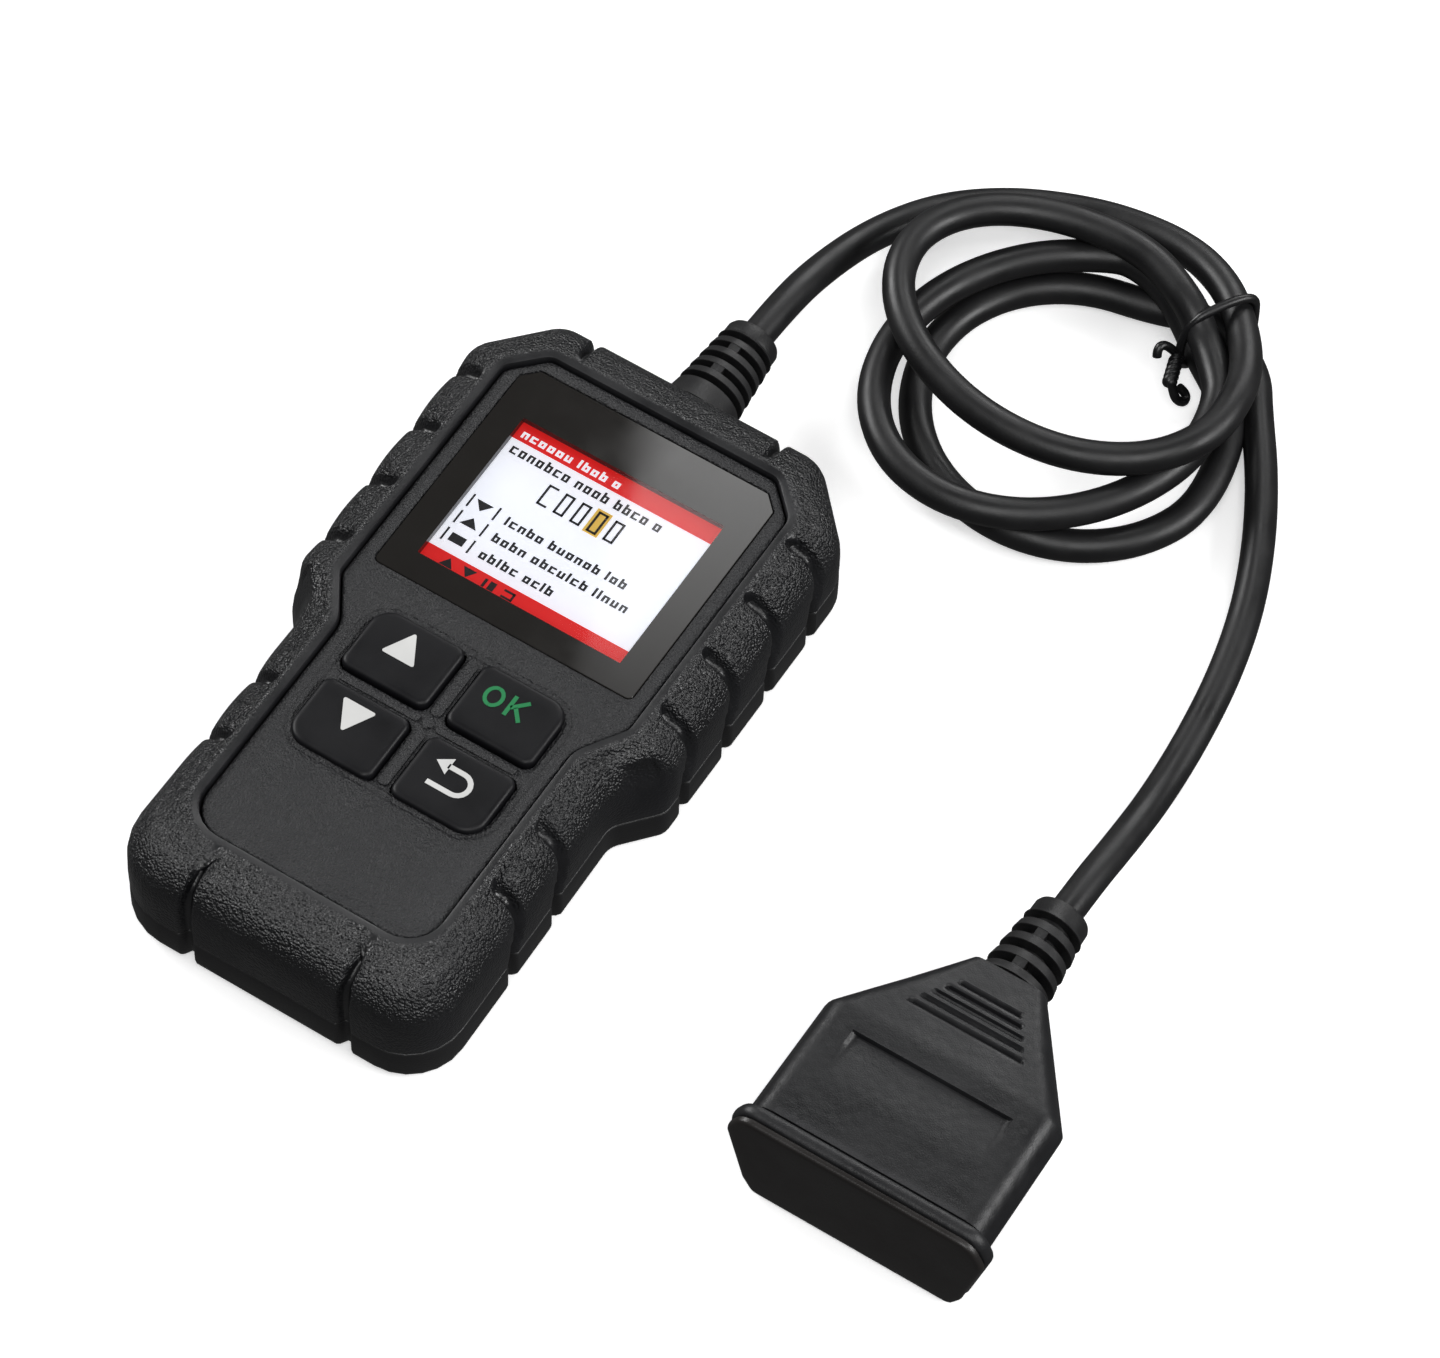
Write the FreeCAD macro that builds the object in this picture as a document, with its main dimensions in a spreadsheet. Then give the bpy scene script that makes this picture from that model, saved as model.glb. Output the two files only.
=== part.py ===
import FreeCAD, Part
import math
import os

import Sketcher
from FreeCAD import Placement, Rotation, Vector

# Hand-held vehicle code reader with a captive cable and a sixteen-way diagnostic plug.
# Millimetres. The case lies on its back: x across it, y along it with the cable end at +y,
# z up out of the face. The origin is the centre of the case's footprint, on the surface
# that it lies on.

DIMENSIONS = {
    # case
    "case_length": 118.0,
    "case_width": 68.0,
    "lower_width": 58.0,
    "case_height": 22.3,
    "parting": 7.8,
    "case_wall": 3.0,
    "case_floor": 2.2,
    "foot_bevel": 1.6,
    "crown_start": 18.2,
    "crown_run": 4.0,
    "top_corner": 11.5,
    "bottom_corner": 8.2,
    "waist_top": -1.4,
    "waist_fall": 6.2,
    # side notches and slits
    "notch_depth": 1.0,
    "notch_flat": 1.3,
    "notch_pitch": 12.0,
    "upper_notch": 39.1,
    "lower_notch": -23.6,
    "slit_rise": 2.8,
    "slit_width": 1.3,
    "slit_depth": 1.2,
    "slit_reach": 6.6,
    "top_slit": 17.0,
    "bottom_slit": 14.0,
    # front panel
    "face": 21.3,
    "panel_skin": 2.7,
    "panel_width": 51.2,
    "panel_low_width": 41.4,
    "panel_top": 49.8,
    "panel_bottom": -48.0,
    "panel_chamfer": 5.2,
    "panel_round": 4.6,
    "panel_waist": 0.8,
    "panel_waist_fall": 6.4,
    "panel_gap": 0.25,
    "panel_flange": 1.6,
    "flange_skin": 1.4,
    # window and display
    "lens_width": 46.2,
    "lens_top": 47.4,
    "lens_bottom": 4.8,
    "lens_chamfer": 3.2,
    "lens_skin": 1.2,
    "lens_sink": 0.1,
    "tape_skin": 0.3,
    "screen_width": 36.4,
    "screen_depth": 29.2,
    "screen_centre": 24.1,
    "screen_frame": 2.2,
    # keys
    "keys_centre": -14.95,
    "key_width": 15.4,
    "key_depth": 12.2,
    "key_pitch_across": 18.8,
    "key_pitch_along": 14.8,
    "key_round": 2.0,
    "key_rise": 0.9,
    "key_travel": 0.8,
    "key_bay_width": 37.4,
    "key_bay_depth": 28.8,
    "key_bay_sink": 0.5,
    "key_clearance": 0.3,
    # board
    "board_top": 11.6,
    "board_skin": 1.6,
    "board_width": 43.0,
    "board_upper": 47.0,
    "board_lower": -44.0,
    # screws
    "case_screw_upper": 43.5,
    "case_screw_lower": -50.0,
    "case_screw_wide": 27.6,
    "case_screw_narrow": 22.6,
    "boss_radius": 3.4,
    "screw_radius": 1.25,
    "screw_head_radius": 2.3,
    "board_screw_across": 18.5,
    "board_screw_upper": 40.0,
    "board_screw_lower": -38.0,
    # cable
    "cord_diameter": 5.3,
    "cable_level": 11.0,
    "relief_base": 5.9,
    "relief_tip": 4.5,
    "relief_core": 3.5,
    "relief_length": 15.0,
    "slot_width": 1.15,
    "collar_length": 2.5,
    "coil_across": 43.0,
    "coil_along": 101.5,
    "coil_outer": 34.5,
    "coil_inner": 18.2,
    "coil_offset": 4.8,
    "coil_height": 15.8,
    "tie_bearing": 50.0,
    "tie_strip": 3.2,
    "tie_skin": 0.6,
    # plug
    "plug_across": 93.6,
    "plug_level": 10.2,
    "plug_mouth": -44.3,
    "plug_body_front": -42.2,
    "plug_shoulder": -20.5,
    "plug_neck": -1.5,
    "rim_width": 44.0,
    "rim_height": 20.4,
    "plug_width": 40.8,
    "plug_height": 18.8,
    "neck_width": 12.6,
    "neck_height": 12.4,
    "cavity_width": 36.0,
    "cavity_height": 14.0,
    "cavity_floor": -31.0,
    "insulator_back": -23.0,
    "blade_tip": -38.4,
    "blade_pitch": 4.0,
    "blade_row": 4.2,
    "blade_width": 1.5,
    "blade_skin": 0.8,
    "cap_skin": 1.3,
    "cap_spigot": 3.2,
    "cap_wall": 1.0,
}

doc = FreeCAD.newDocument("code_reader")
sheet = doc.addObject("Spreadsheet::Sheet", "dims")
for row, (name, number) in enumerate(DIMENSIONS.items(), start=1):
    sheet.set(f"A{row}", name)
    sheet.set(f"B{row}", str(number))
    sheet.setAlias(f"B{row}", name)
doc.recompute()

parts = []
sides = (-1, 1)


# ---------------------------------------------------------------- helpers


def value(expression):
    """Number that an expression of the sheet's aliases works out to."""
    return float(sheet.evalExpression(str(expression)))


def new_body(label):
    """Empty body for one sub-part; it may hold several separate solids."""
    body = doc.addObject("PartDesign::Body", label)
    body.Label = label
    body.AllowCompound = True
    parts.append(body)
    return body


def new_sketch(body, name, level, role):
    """Sketch on an origin plane of the body, moved to a level along the plane's normal."""
    plane = next(item for item in body.Origin.OriginFeatures if item.Role == role)
    sketch = body.newObject("Sketcher::SketchObject", name)
    sketch.AttachmentSupport = (plane, [""])
    sketch.MapMode = "FlatFace"
    sketch.setExpression("AttachmentOffset.Base.z", str(level))
    return sketch


def fix_point(sketch, curve, point, expressions):
    """Hold one point of a curve at coordinates bound to the sheet."""
    for kind, expression in zip(("DistanceX", "DistanceY"), expressions):
        rule = Sketcher.Constraint(kind, -1, 1, curve, point, value(expression))
        index = sketch.addConstraint(rule)
        sketch.setExpression(f"Constraints[{index}]", str(expression))


def draw_outline(sketch, corners):
    """Closed outline of straight edges through the corners."""
    first = sketch.GeometryCount
    places = [Vector(value(x), value(y), 0) for x, y in corners]
    count = len(places)
    for index in range(count):
        sketch.addGeometry(Part.LineSegment(places[index], places[(index + 1) % count]))
    for index in range(count):
        follower = first + (index + 1) % count
        sketch.addConstraint(Sketcher.Constraint("Coincident", first + index, 2, follower, 1))
    for index, corner in enumerate(corners):
        fix_point(sketch, first + index, 1, corner)


def draw_circle(sketch, x, y, radius):
    """Circle with its centre and radius bound to the sheet."""
    circle = Part.Circle(Vector(value(x), value(y), 0), Vector(0, 0, 1), value(radius))
    curve = sketch.addGeometry(circle)
    fix_point(sketch, curve, 3, (x, y))
    index = sketch.addConstraint(Sketcher.Constraint("Radius", curve, value(radius)))
    sketch.setExpression(f"Constraints[{index}]", str(radius))


def draw(body, name, level, shapes, role):
    """Sketch that holds several shapes: a list of corners, or a circle's x, y and radius."""
    sketch = new_sketch(body, name + "_sketch", level, role)
    for shape in shapes:
        if isinstance(shape, tuple):
            draw_circle(sketch, *shape)
        else:
            draw_outline(sketch, shape)
    return sketch


def pad(body, name, level, length, shapes, role="XY_Plane"):
    """Raise shapes from a level along the sketch plane's normal."""
    feature = body.newObject("PartDesign::Pad", name)
    feature.Profile = draw(body, name, level, shapes, role)
    feature.setExpression("Length", str(length))
    body.Tip = feature
    doc.recompute()
    return feature


def pocket(body, name, level, depth, shapes, role="XY_Plane"):
    """Cut shapes from a level along the sketch plane's normal, and check that they cut."""
    before = body.Shape.Volume
    feature = body.newObject("PartDesign::Pocket", name)
    feature.Profile = draw(body, name, level, shapes, role)
    feature.Reversed = True
    feature.setExpression("Length", str(depth))
    body.Tip = feature
    doc.recompute()
    if body.Shape.Volume > before - 0.01:
        raise RuntimeError(f"{body.Label}: {name} cuts nothing")
    return feature


def loft(body, name, sections, role="XY_Plane"):
    """Straight-sided solid through outlines at several levels."""
    sketches = [
        draw(body, f"{name}_{index}", level, [corners], role)
        for index, (level, corners) in enumerate(sections)
    ]
    feature = body.newObject("PartDesign::AdditiveLoft", name)
    feature.Profile = sketches[0]
    feature.Sections = sketches[1:]
    feature.Ruled = True
    body.Tip = feature
    doc.recompute()
    return feature


def revolve(body, name, corners):
    """Turn an outline of (radius, height) corners round the body's z axis."""
    sketch = draw(body, name, 0, [corners], "XZ_Plane")
    feature = body.newObject("PartDesign::Revolution", name)
    feature.Profile = sketch
    feature.ReferenceAxis = (sketch, ["V_Axis"])
    feature.Angle = 360
    body.Tip = feature
    doc.recompute()
    return feature


def round_edges(body, name, radius, wanted, kind="Fillet"):
    """Fillet or chamfer the edges of the body's tip that the test picks."""
    tip = body.Tip
    edges = [f"Edge{i}" for i, edge in enumerate(tip.Shape.Edges, start=1) if wanted(edge)]
    feature = body.newObject(f"PartDesign::{kind}", name)
    feature.Base = (tip, edges)
    feature.setExpression("Radius" if kind == "Fillet" else "Size", str(radius))
    body.Tip = feature
    doc.recompute()
    return feature


def is_upright(edge):
    """True for a straight edge along z."""
    direction = edge.Vertexes[-1].Point - edge.Vertexes[0].Point
    return abs(direction.z) > 0.99 * max(edge.Length, 0.001)


def box(x, y, width, depth):
    """Rectangle with its centre at x, y."""
    left = f"({x}) - ({width}) / 2"
    right = f"({x}) + ({width}) / 2"
    front = f"({y}) - ({depth}) / 2"
    back = f"({y}) + ({depth}) / 2"
    return [(left, front), (right, front), (right, back), (left, back)]


def mirrored(half):
    """Whole outline from its right half, listed from top to bottom."""
    return half + [(f"-({x})", y) for x, y in reversed(half)]


# ---------------------------------------------------------------- case


def notch(side, centre):
    """Right-hand corners of one shallow notch in the case's side."""
    upper = f"({centre}) + dims.notch_flat / 2"
    lower = f"({centre}) - dims.notch_flat / 2"
    return [
        (side, f"{upper} + dims.notch_depth"),
        (f"{side} - dims.notch_depth", upper),
        (f"{side} - dims.notch_depth", lower),
        (side, f"{lower} - dims.notch_depth"),
    ]


def case_outline(inset):
    """Outline of the case: wide block for the display, waist, narrower handle block."""
    wide = f"(dims.case_width / 2 - {inset})"
    narrow = f"(dims.lower_width / 2 - {inset})"
    end = f"(dims.case_length / 2 - {inset})"
    low = f"{narrow} - dims.notch_depth"
    half = [
        (f"{wide} - dims.top_corner", end),
        (f"{wide} - dims.top_corner * 0.42", f"{end} - dims.top_corner * 0.3"),
        (f"{wide} - dims.top_corner * 0.12", f"{end} - dims.top_corner * 0.68"),
        (wide, f"{end} - dims.top_corner * 1.1"),
    ]
    for index in range(4):
        half += notch(wide, f"dims.upper_notch - {index} * dims.notch_pitch")
    half += [
        (f"{wide} - 0.4", "dims.waist_top"),
        (f"{wide} - 2.2", "dims.waist_top - dims.waist_fall * 0.55"),
        (f"{low} + 0.9", "dims.waist_top - dims.waist_fall * 0.95"),
        (low, "dims.waist_top - dims.waist_fall * 1.25"),
        (low, "dims.lower_notch + dims.notch_pitch - dims.notch_flat"),
        (narrow, "dims.lower_notch + dims.notch_pitch - dims.notch_flat - dims.notch_depth"),
    ]
    for index in range(2):
        half += notch(narrow, f"dims.lower_notch - {index} * dims.notch_pitch")
    half += [
        (narrow, f"-({end} - dims.bottom_corner)"),
        (f"{narrow} - dims.bottom_corner * 0.3", f"-({end} - dims.bottom_corner * 0.42)"),
        (f"{narrow} - dims.bottom_corner * 0.95", f"-{end}"),
    ]
    return mirrored(half)


def hollow_outline(clearance):
    """Inner outline of the case, without the side notches."""
    wall = f"(dims.case_wall + dims.notch_depth + {clearance})"
    wide = f"(dims.case_width / 2 - {wall})"
    narrow = f"(dims.lower_width / 2 - {wall})"
    end = f"(dims.case_length / 2 - {wall} + dims.notch_depth)"
    return mirrored([
        (f"{wide} - dims.top_corner * 0.9", end),
        (wide, f"{end} - dims.top_corner"),
        (wide, "dims.waist_top + 1"),
        (narrow, "dims.waist_top - dims.waist_fall"),
        (narrow, f"-({end} - dims.bottom_corner * 0.8)"),
        (f"{narrow} - dims.bottom_corner * 0.7", f"-{end}"),
    ])


def panel_outline(grow):
    """Outline of the front panel: chamfered top, S-shaped waist, rounded bottom."""
    wide = f"(dims.panel_width / 2 + {grow})"
    narrow = f"(dims.panel_low_width / 2 + {grow})"
    top = f"(dims.panel_top + {grow})"
    bottom = f"(dims.panel_bottom - {grow})"
    return mirrored([
        (f"{wide} - dims.panel_chamfer", top),
        (wide, f"{top} - dims.panel_chamfer"),
        (wide, "dims.panel_waist"),
        (f"{wide} - 1.4", "dims.panel_waist - dims.panel_waist_fall * 0.35"),
        (f"{narrow} + 1.0", "dims.panel_waist - dims.panel_waist_fall * 0.8"),
        (narrow, "dims.panel_waist - dims.panel_waist_fall * 1.25"),
        (narrow, f"{bottom} + dims.panel_round"),
        (f"{narrow} - dims.panel_round * 0.3", f"{bottom} + dims.panel_round * 0.3"),
        (f"{narrow} - dims.panel_round", bottom),
    ])


case_screws = [
    (side * value(across), value(along))
    for across, along in (
        ("dims.case_screw_wide", "dims.case_screw_upper"),
        ("dims.case_screw_narrow", "dims.case_screw_lower"),
    )
    for side in sides
]
board_screws = [
    (side * value("dims.board_screw_across"), value(along))
    for along in ("dims.board_screw_upper", "dims.board_screw_lower")
    for side in sides
]


def circles(places, radius):
    """One circle of the same radius at each place."""
    return [(x, y, radius) for x, y in places]


def cable_hole(body):
    """Hole for the cable grommet through the end wall at +y."""
    hole = [(0, "dims.cable_level", "dims.relief_core + 1.3")]
    pocket(body, "CableHole", "-dims.case_length / 2 - 1", "dims.case_wall + 2", hole, "XZ_Plane")


def build_rear_shell():
    """Tub with a bevelled foot, screw bosses, board posts and a shallow label recess."""
    body = new_body("rear_shell")
    foot = case_outline("dims.foot_bevel")
    wall = case_outline("0")
    loft(body, "Foot", [(0, foot), ("dims.foot_bevel", wall)])
    pad(body, "Wall", "dims.foot_bevel", "dims.parting - dims.foot_bevel", [wall])
    pocket(body, "Hollow", "dims.case_floor", "dims.parting", [hollow_outline("0")])
    pad(body, "Bosses", "dims.case_floor - 0.5", "dims.parting - dims.case_floor + 0.5",
        circles(case_screws, "dims.boss_radius"))
    pad(body, "Posts", "dims.case_floor - 0.5",
        "dims.board_top - dims.board_skin - dims.case_floor + 0.5",
        circles(board_screws, "dims.screw_radius + 1.6"))
    pocket(body, "PostHoles", "dims.case_floor + 1", "dims.board_top",
           circles(board_screws, "dims.screw_radius - 0.25"))
    pocket(body, "ScrewHoles", 0, "dims.parting", circles(case_screws, "dims.screw_radius + 0.2"))
    pocket(body, "ScrewSinks", 0, "2.6", circles(case_screws, "dims.screw_head_radius + 0.4"))
    pocket(body, "LabelRecess", 0, "0.5", [box(0, -22, "38.6", "40.6")])
    cable_hole(body)


def build_front_bumper():
    """Textured frame: walls, shouldered crown, panel opening, and slits across the crown."""
    body = new_body("front_bumper")
    wall = case_outline("0")
    pad(body, "Wall", "dims.parting", "dims.crown_start - dims.parting", [wall])
    loft(body, "Crown", [
        ("dims.crown_start", wall),
        ("dims.case_height - 1.3", case_outline("dims.crown_run * 0.3")),
        ("dims.case_height", case_outline("dims.crown_run")),
    ])
    hollow_height = "dims.face - dims.panel_skin - dims.parting"
    pocket(body, "Hollow", "dims.parting", hollow_height, [hollow_outline("0")])
    pocket(body, "PanelOpening", "dims.parting", "dims.case_height",
           [panel_outline("dims.panel_gap")])
    for label, level, reach in (
        ("WallSlits", "dims.parting", "dims.slit_depth + dims.notch_depth"),
        ("CrownSlits", "dims.case_height - dims.slit_depth", "dims.slit_reach"),
    ):
        shapes = []
        for side in sides:
            for block, first, count in (("case", "upper", 4), ("lower", "lower", 2)):
                for index in range(count):
                    edge = f"{side} * dims.{block}_width / 2"
                    centre = f"dims.{first}_notch - {index} * dims.notch_pitch + dims.slit_rise"
                    shapes.append(box(edge, centre, f"2 * ({reach})", "dims.slit_width"))
            for name, end in (("top", 1), ("bottom", -1)):
                edge = f"{end} * dims.case_length / 2"
                centre = f"{side} * dims.{name}_slit"
                shapes.append(box(centre, edge, "dims.slit_width", f"2 * ({reach})"))
        pocket(body, label, level, "dims.case_height", shapes)
    boss_height = "dims.face - dims.panel_skin - dims.flange_skin - 0.2 - dims.parting"
    pad(body, "Bosses", "dims.parting", boss_height, circles(case_screws, "dims.boss_radius"))
    pocket(body, "BossHoles", "dims.parting", f"{boss_height} - 1",
           circles(case_screws, "dims.screw_radius - 0.2"))
    cable_hole(body)


# ---------------------------------------------------------------- front panel


key_places = [
    (name, column, row)
    for name, column, row in (("up", -1, 1), ("ok", 1, 1), ("down", -1, -1), ("back", 1, -1))
]


def key_centre(column, row):
    """Centre of one key on the face."""
    across = f"{column} * dims.key_pitch_across / 2"
    along = f"dims.keys_centre + {row} * dims.key_pitch_along / 2"
    return across, along


def key_boxes(grow):
    """The four key outlines, grown on every side."""
    width = f"dims.key_width + 2 * ({grow})"
    depth = f"dims.key_depth + 2 * ({grow})"
    return [box(*key_centre(column, row), width, depth) for _, column, row in key_places]


def lens_outline(grow):
    """Window outline with its two upper corners chamfered."""
    half = f"(dims.lens_width / 2 + {grow})"
    top = f"(dims.lens_top + {grow})"
    return mirrored([
        (f"{half} - dims.lens_chamfer", top),
        (half, f"{top} - dims.lens_chamfer"),
        (half, f"dims.lens_bottom - {grow}"),
    ])


def screen_box(grow):
    """Lit area of the display, grown on every side."""
    width = f"dims.screen_width + 2 * ({grow})"
    depth = f"dims.screen_depth + 2 * ({grow})"
    return box(0, "dims.screen_centre", width, depth)


def build_front_panel():
    """Face plate with a flange under the bumper, window seat, key bay and crossed ribs."""
    body = new_body("front_panel")
    pad(body, "Plate", "dims.face - dims.panel_skin", "dims.panel_skin", [panel_outline("0")])
    pad(body, "Flange", "dims.face - dims.panel_skin - dims.flange_skin",
        "dims.flange_skin - 0.15", [panel_outline("dims.panel_flange")])
    pad(body, "FlangeNeck", "dims.face - dims.panel_skin - 0.2", "0.3", [panel_outline("-0.3")])
    bottom = "dims.face - dims.panel_skin - dims.flange_skin"
    seat = "dims.face - dims.lens_skin - dims.tape_skin - dims.lens_sink"
    pocket(body, "LensSeat", seat, "2", [lens_outline("0.15")])
    pocket(body, "DisplayWindow", bottom, "4", [screen_box("0.6")])
    pocket(body, "DisplayBay", bottom, "dims.flange_skin",
           [screen_box("dims.screen_frame + 0.4")])
    bay = box(0, "dims.keys_centre", "dims.key_bay_width", "dims.key_bay_depth")
    pocket(body, "KeyBay", "dims.face - dims.key_bay_sink", "1", [bay])
    pad(body, "KeyRibs", "dims.face - dims.key_bay_sink - 0.1", "dims.key_bay_sink + 0.1", [
        box(0, "dims.keys_centre", "1.4", "dims.key_bay_depth - 2"),
    ])
    pad(body, "KeyCrossRib", "dims.face - dims.key_bay_sink - 0.1", "dims.key_bay_sink + 0.1", [
        box(0, "dims.keys_centre", "dims.key_bay_width - 6", "1.0"),
    ])
    pocket(body, "KeyOpenings", bottom, "6", key_boxes("dims.key_clearance"))
    web = box(0, "dims.keys_centre", "dims.key_bay_width + 1.4", "dims.key_bay_depth + 1.4")
    pocket(body, "WebBay", bottom, "dims.flange_skin + 0.1", [web])


def build_window():
    """Window, and the frame of tape that holds it in its seat."""
    top = "dims.face - dims.lens_sink"
    tape = new_body("lens_adhesive")
    pad(tape, "Tape", f"{top} - dims.lens_skin - dims.tape_skin", "dims.tape_skin",
        [lens_outline("-0.1"), screen_box("0.9")])
    lens = new_body("lens_window")
    pad(lens, "Window", f"{top} - dims.lens_skin", "dims.lens_skin", [lens_outline("0")])


def build_display():
    """Display module: foam ring, glass cell, light guide, metal frame and flexible tail."""
    ceiling = "dims.face - dims.panel_skin - 0.2"
    foam = new_body("display_foam")
    pad(foam, "Foam", f"{ceiling} - 0.3", "0.3",
        [screen_box("dims.screen_frame"), screen_box("1.1")])
    glass = new_body("display_glass")
    pad(glass, "Glass", f"{ceiling} - 1.6", "1.1", [screen_box("1.0")])
    light = new_body("display_backlight")
    pad(light, "LightGuide", f"{ceiling} - 2.9", "1.2", [screen_box("1.0")])
    frame = new_body("display_frame")
    pad(frame, "Tray", f"{ceiling} - 3.3", "3.0", [screen_box("dims.screen_frame")])
    pocket(frame, "Bay", f"{ceiling} - 3.0", "4", [screen_box("1.1")])
    tail = new_body("display_flex")
    pad(tail, "Tail", f"{ceiling} - 3.6", "0.2", [box(0, 16, 15, 22)])
    pad(tail, "Stiffener", "dims.board_top + 0.1", "dims.face - dims.board_top - 6.3",
        [box(0, "5.4", 15, "0.8")])


def build_keys():
    """Four keys on one silicone web, and the switches that they press."""
    flange_bottom = "dims.face - dims.panel_skin - 1.2"
    for name, column, row in key_places:
        key = new_body(f"key_{name}")
        x, y = key_centre(column, row)
        face = box(x, y, "dims.key_width", "dims.key_depth")
        flange = box(x, y, "dims.key_width + 1.8", "dims.key_depth + 1.2")
        pad(key, "Cap", f"{flange_bottom} + 0.5",
            "dims.panel_skin + 0.7 + dims.key_rise", [face])
        upper = value("dims.face")
        round_edges(key, "CapCorners", "dims.key_round", is_upright)
        round_edges(key, "CapEdge", "0.5", lambda edge: edge.BoundBox.ZMin > upper, "Chamfer")
        pad(key, "Flange", flange_bottom, "1.0", [flange])
        stem_bottom = "dims.board_top + 4.4 + dims.key_travel + 0.1"
        pad(key, "Stem", stem_bottom, f"{flange_bottom} - ({stem_bottom}) + 0.2", [(x, y, 2)])
    web = new_body("keypad_web")
    outline = box(0, "dims.keys_centre", "dims.key_bay_width + 0.8", "dims.key_bay_depth + 0.8")
    holes = [
        box(*key_centre(column, row), "dims.key_width + 2.5", "dims.key_depth + 1.8")
        for _, column, row in key_places
    ]
    pad(web, "Web", flange_bottom, "1.0", [outline] + holes)
    switches = new_body("tact_switches")
    plungers = new_body("switch_plungers")
    pad(switches, "Bodies", "dims.board_top", "3.4",
        [box(*key_centre(column, row), 6, 6) for _, column, row in key_places])
    pad(plungers, "Plungers", "dims.board_top + 3.4", "1.0",
        [(*key_centre(column, row), "1.75") for _, column, row in key_places])


# ---------------------------------------------------------------- circuit board


def build_board():
    """Board with its parts: the chips hang below it, under the display."""
    underside = "dims.board_top - dims.board_skin"
    board = new_body("main_board")
    middle = "(dims.board_upper + dims.board_lower) / 2"
    length = "dims.board_upper - dims.board_lower"
    pad(board, "Laminate", underside, "dims.board_skin",
        [box(0, middle, "dims.board_width", length)])
    pocket(board, "Holes", f"{underside} - 1", "4", circles(board_screws, "dims.screw_radius + 0.1"))
    chips = (
        ("processor", 0, 22, 10, 10, 1.4),
        ("bus_transceiver", -12, 8, 4, 5, 1.5),
        ("line_driver", 12, 8, 4, 5, 1.5),
        ("voltage_regulator", -12, -16, 6.5, 6, 2.2),
        ("power_inductor", 10, -16, 7, 7, 3.4),
        ("crystal", 0, 34, 11, 4.6, 3.2),
    )
    for label, x, y, width, depth, height in chips:
        chip = new_body(label)
        pad(chip, "Package", f"{underside} - {height}", height, [box(x, y, width, depth)])
    capacitors = new_body("capacitors")
    pad(capacitors, "Cans", f"{underside} - 4.5", "4.5",
        [(x, -28, "2.5") for x in (-12, -5, 3)])
    resistors = new_body("resistors")
    pad(resistors, "Chips", f"{underside} - 0.6", "0.6",
        [box(x, y, 2, "1.25") for x in (-6, -2, 2, 6) for y in (12, -4)])
    header = new_body("cable_header")
    pad(header, "Housing", "dims.board_top", "3.4", [box(0, 43.6, 12, 5.6)])
    socket = new_body("cable_socket")
    pad(socket, "Housing", "dims.board_top + 0.2", "3.0", [box(0, 48.2, 10.4, 3.4)])
    cores = new_body("cable_cores")
    core_length = "dims.case_length / 2 - dims.case_wall - 2.2 - 49.9"
    pad(cores, "Cores", "-(dims.case_length / 2 - dims.case_wall - 2.2)", core_length,
        [(x, "dims.cable_level + 2", "0.55") for x in (-3, -1, 1, 3)], "XZ_Plane")


def build_screws():
    """Case screws driven from the back, and board screws driven from the front."""
    case = new_body("case_screws")
    pad(case, "Heads", "1.0", "1.5", circles(case_screws, "dims.screw_head_radius"))
    pad(case, "Shanks", "2.4", "9.6", circles(case_screws, "dims.screw_radius - 0.25"))
    board = new_body("board_screws")
    pad(board, "Heads", "dims.board_top", "1.4", circles(board_screws, "dims.screw_head_radius"))
    pad(board, "Shanks", "dims.case_floor + 2.5", "dims.board_top - dims.case_floor - 2.4",
        circles(board_screws, "dims.screw_radius - 0.3"))


def build_rear_label():
    """Blank rating plate in the recess of the back."""
    label = new_body("rear_label")
    pad(label, "Plate", "0.1", "0.4", [box(0, -22, 38, 40)])


# ---------------------------------------------------------------- cable


def relief_profile(base_length, flare):
    """Half section of a slotted strain relief: base, five slots, tip; (radius, height)."""
    tip = f"({base_length} + dims.relief_length)"
    corners = [(0, 0), (f"dims.relief_base + {flare}", 0), ("dims.relief_base", base_length)]
    for index in range(5):
        low = f"{base_length} + dims.relief_length * {0.07 + 0.172 * index}"
        high = f"{low} + dims.slot_width"
        radius = f"dims.relief_base - (dims.relief_base - dims.relief_tip) * {0.1 + 0.18 * index}"
        corners += [(radius, low), ("dims.relief_core", low), ("dims.relief_core", high),
                    (radius, high)]
    corners += [("dims.relief_tip", f"{tip} - 0.8"), ("dims.relief_tip - 0.8", tip), (0, tip)]
    return corners


along_y = Rotation(Vector(1, 0, 0), -90)


def build_grommet():
    """Strain relief at the case, with its neck and the inner flange that holds it."""
    body = new_body("cable_grommet")
    revolve(body, "Relief", relief_profile("dims.collar_length", "1.3"))
    neck = "dims.case_wall + 1.9"
    pad(body, "Neck", f"-({neck})", f"{neck} + 0.1", [(0, 0, "dims.relief_core + 1.2")])
    pad(body, "Flange", f"-({neck})", "1.6", [(0, 0, "dims.relief_base + 0.6")])
    place = Vector(0, value("dims.case_length / 2"), value("dims.cable_level"))
    body.Placement = Placement(place, along_y)


def build_plug_relief():
    """Strain relief at the back of the plug."""
    body = new_body("plug_relief")
    revolve(body, "Relief", relief_profile("0.6", "0.1"))
    place = Vector(value("dims.plug_across"), value("dims.plug_neck"), value("dims.plug_level"))
    body.Placement = Placement(place, along_y)


# Centre line of the cable between the case's strain relief and the coil.
lead_route = [
    (0.0, 76.5, 11.0),
    (0.0, 86.0, 10.2),
    (0.2, 97.0, 6.6),
    (2.4, 108.6, 3.8),
    (8.2, 118.8, 3.0),
    (17.0, 126.0, 3.0),
    (27.2, 130.4, 3.6),
    (36.6, 132.0, 5.0),
]

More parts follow.
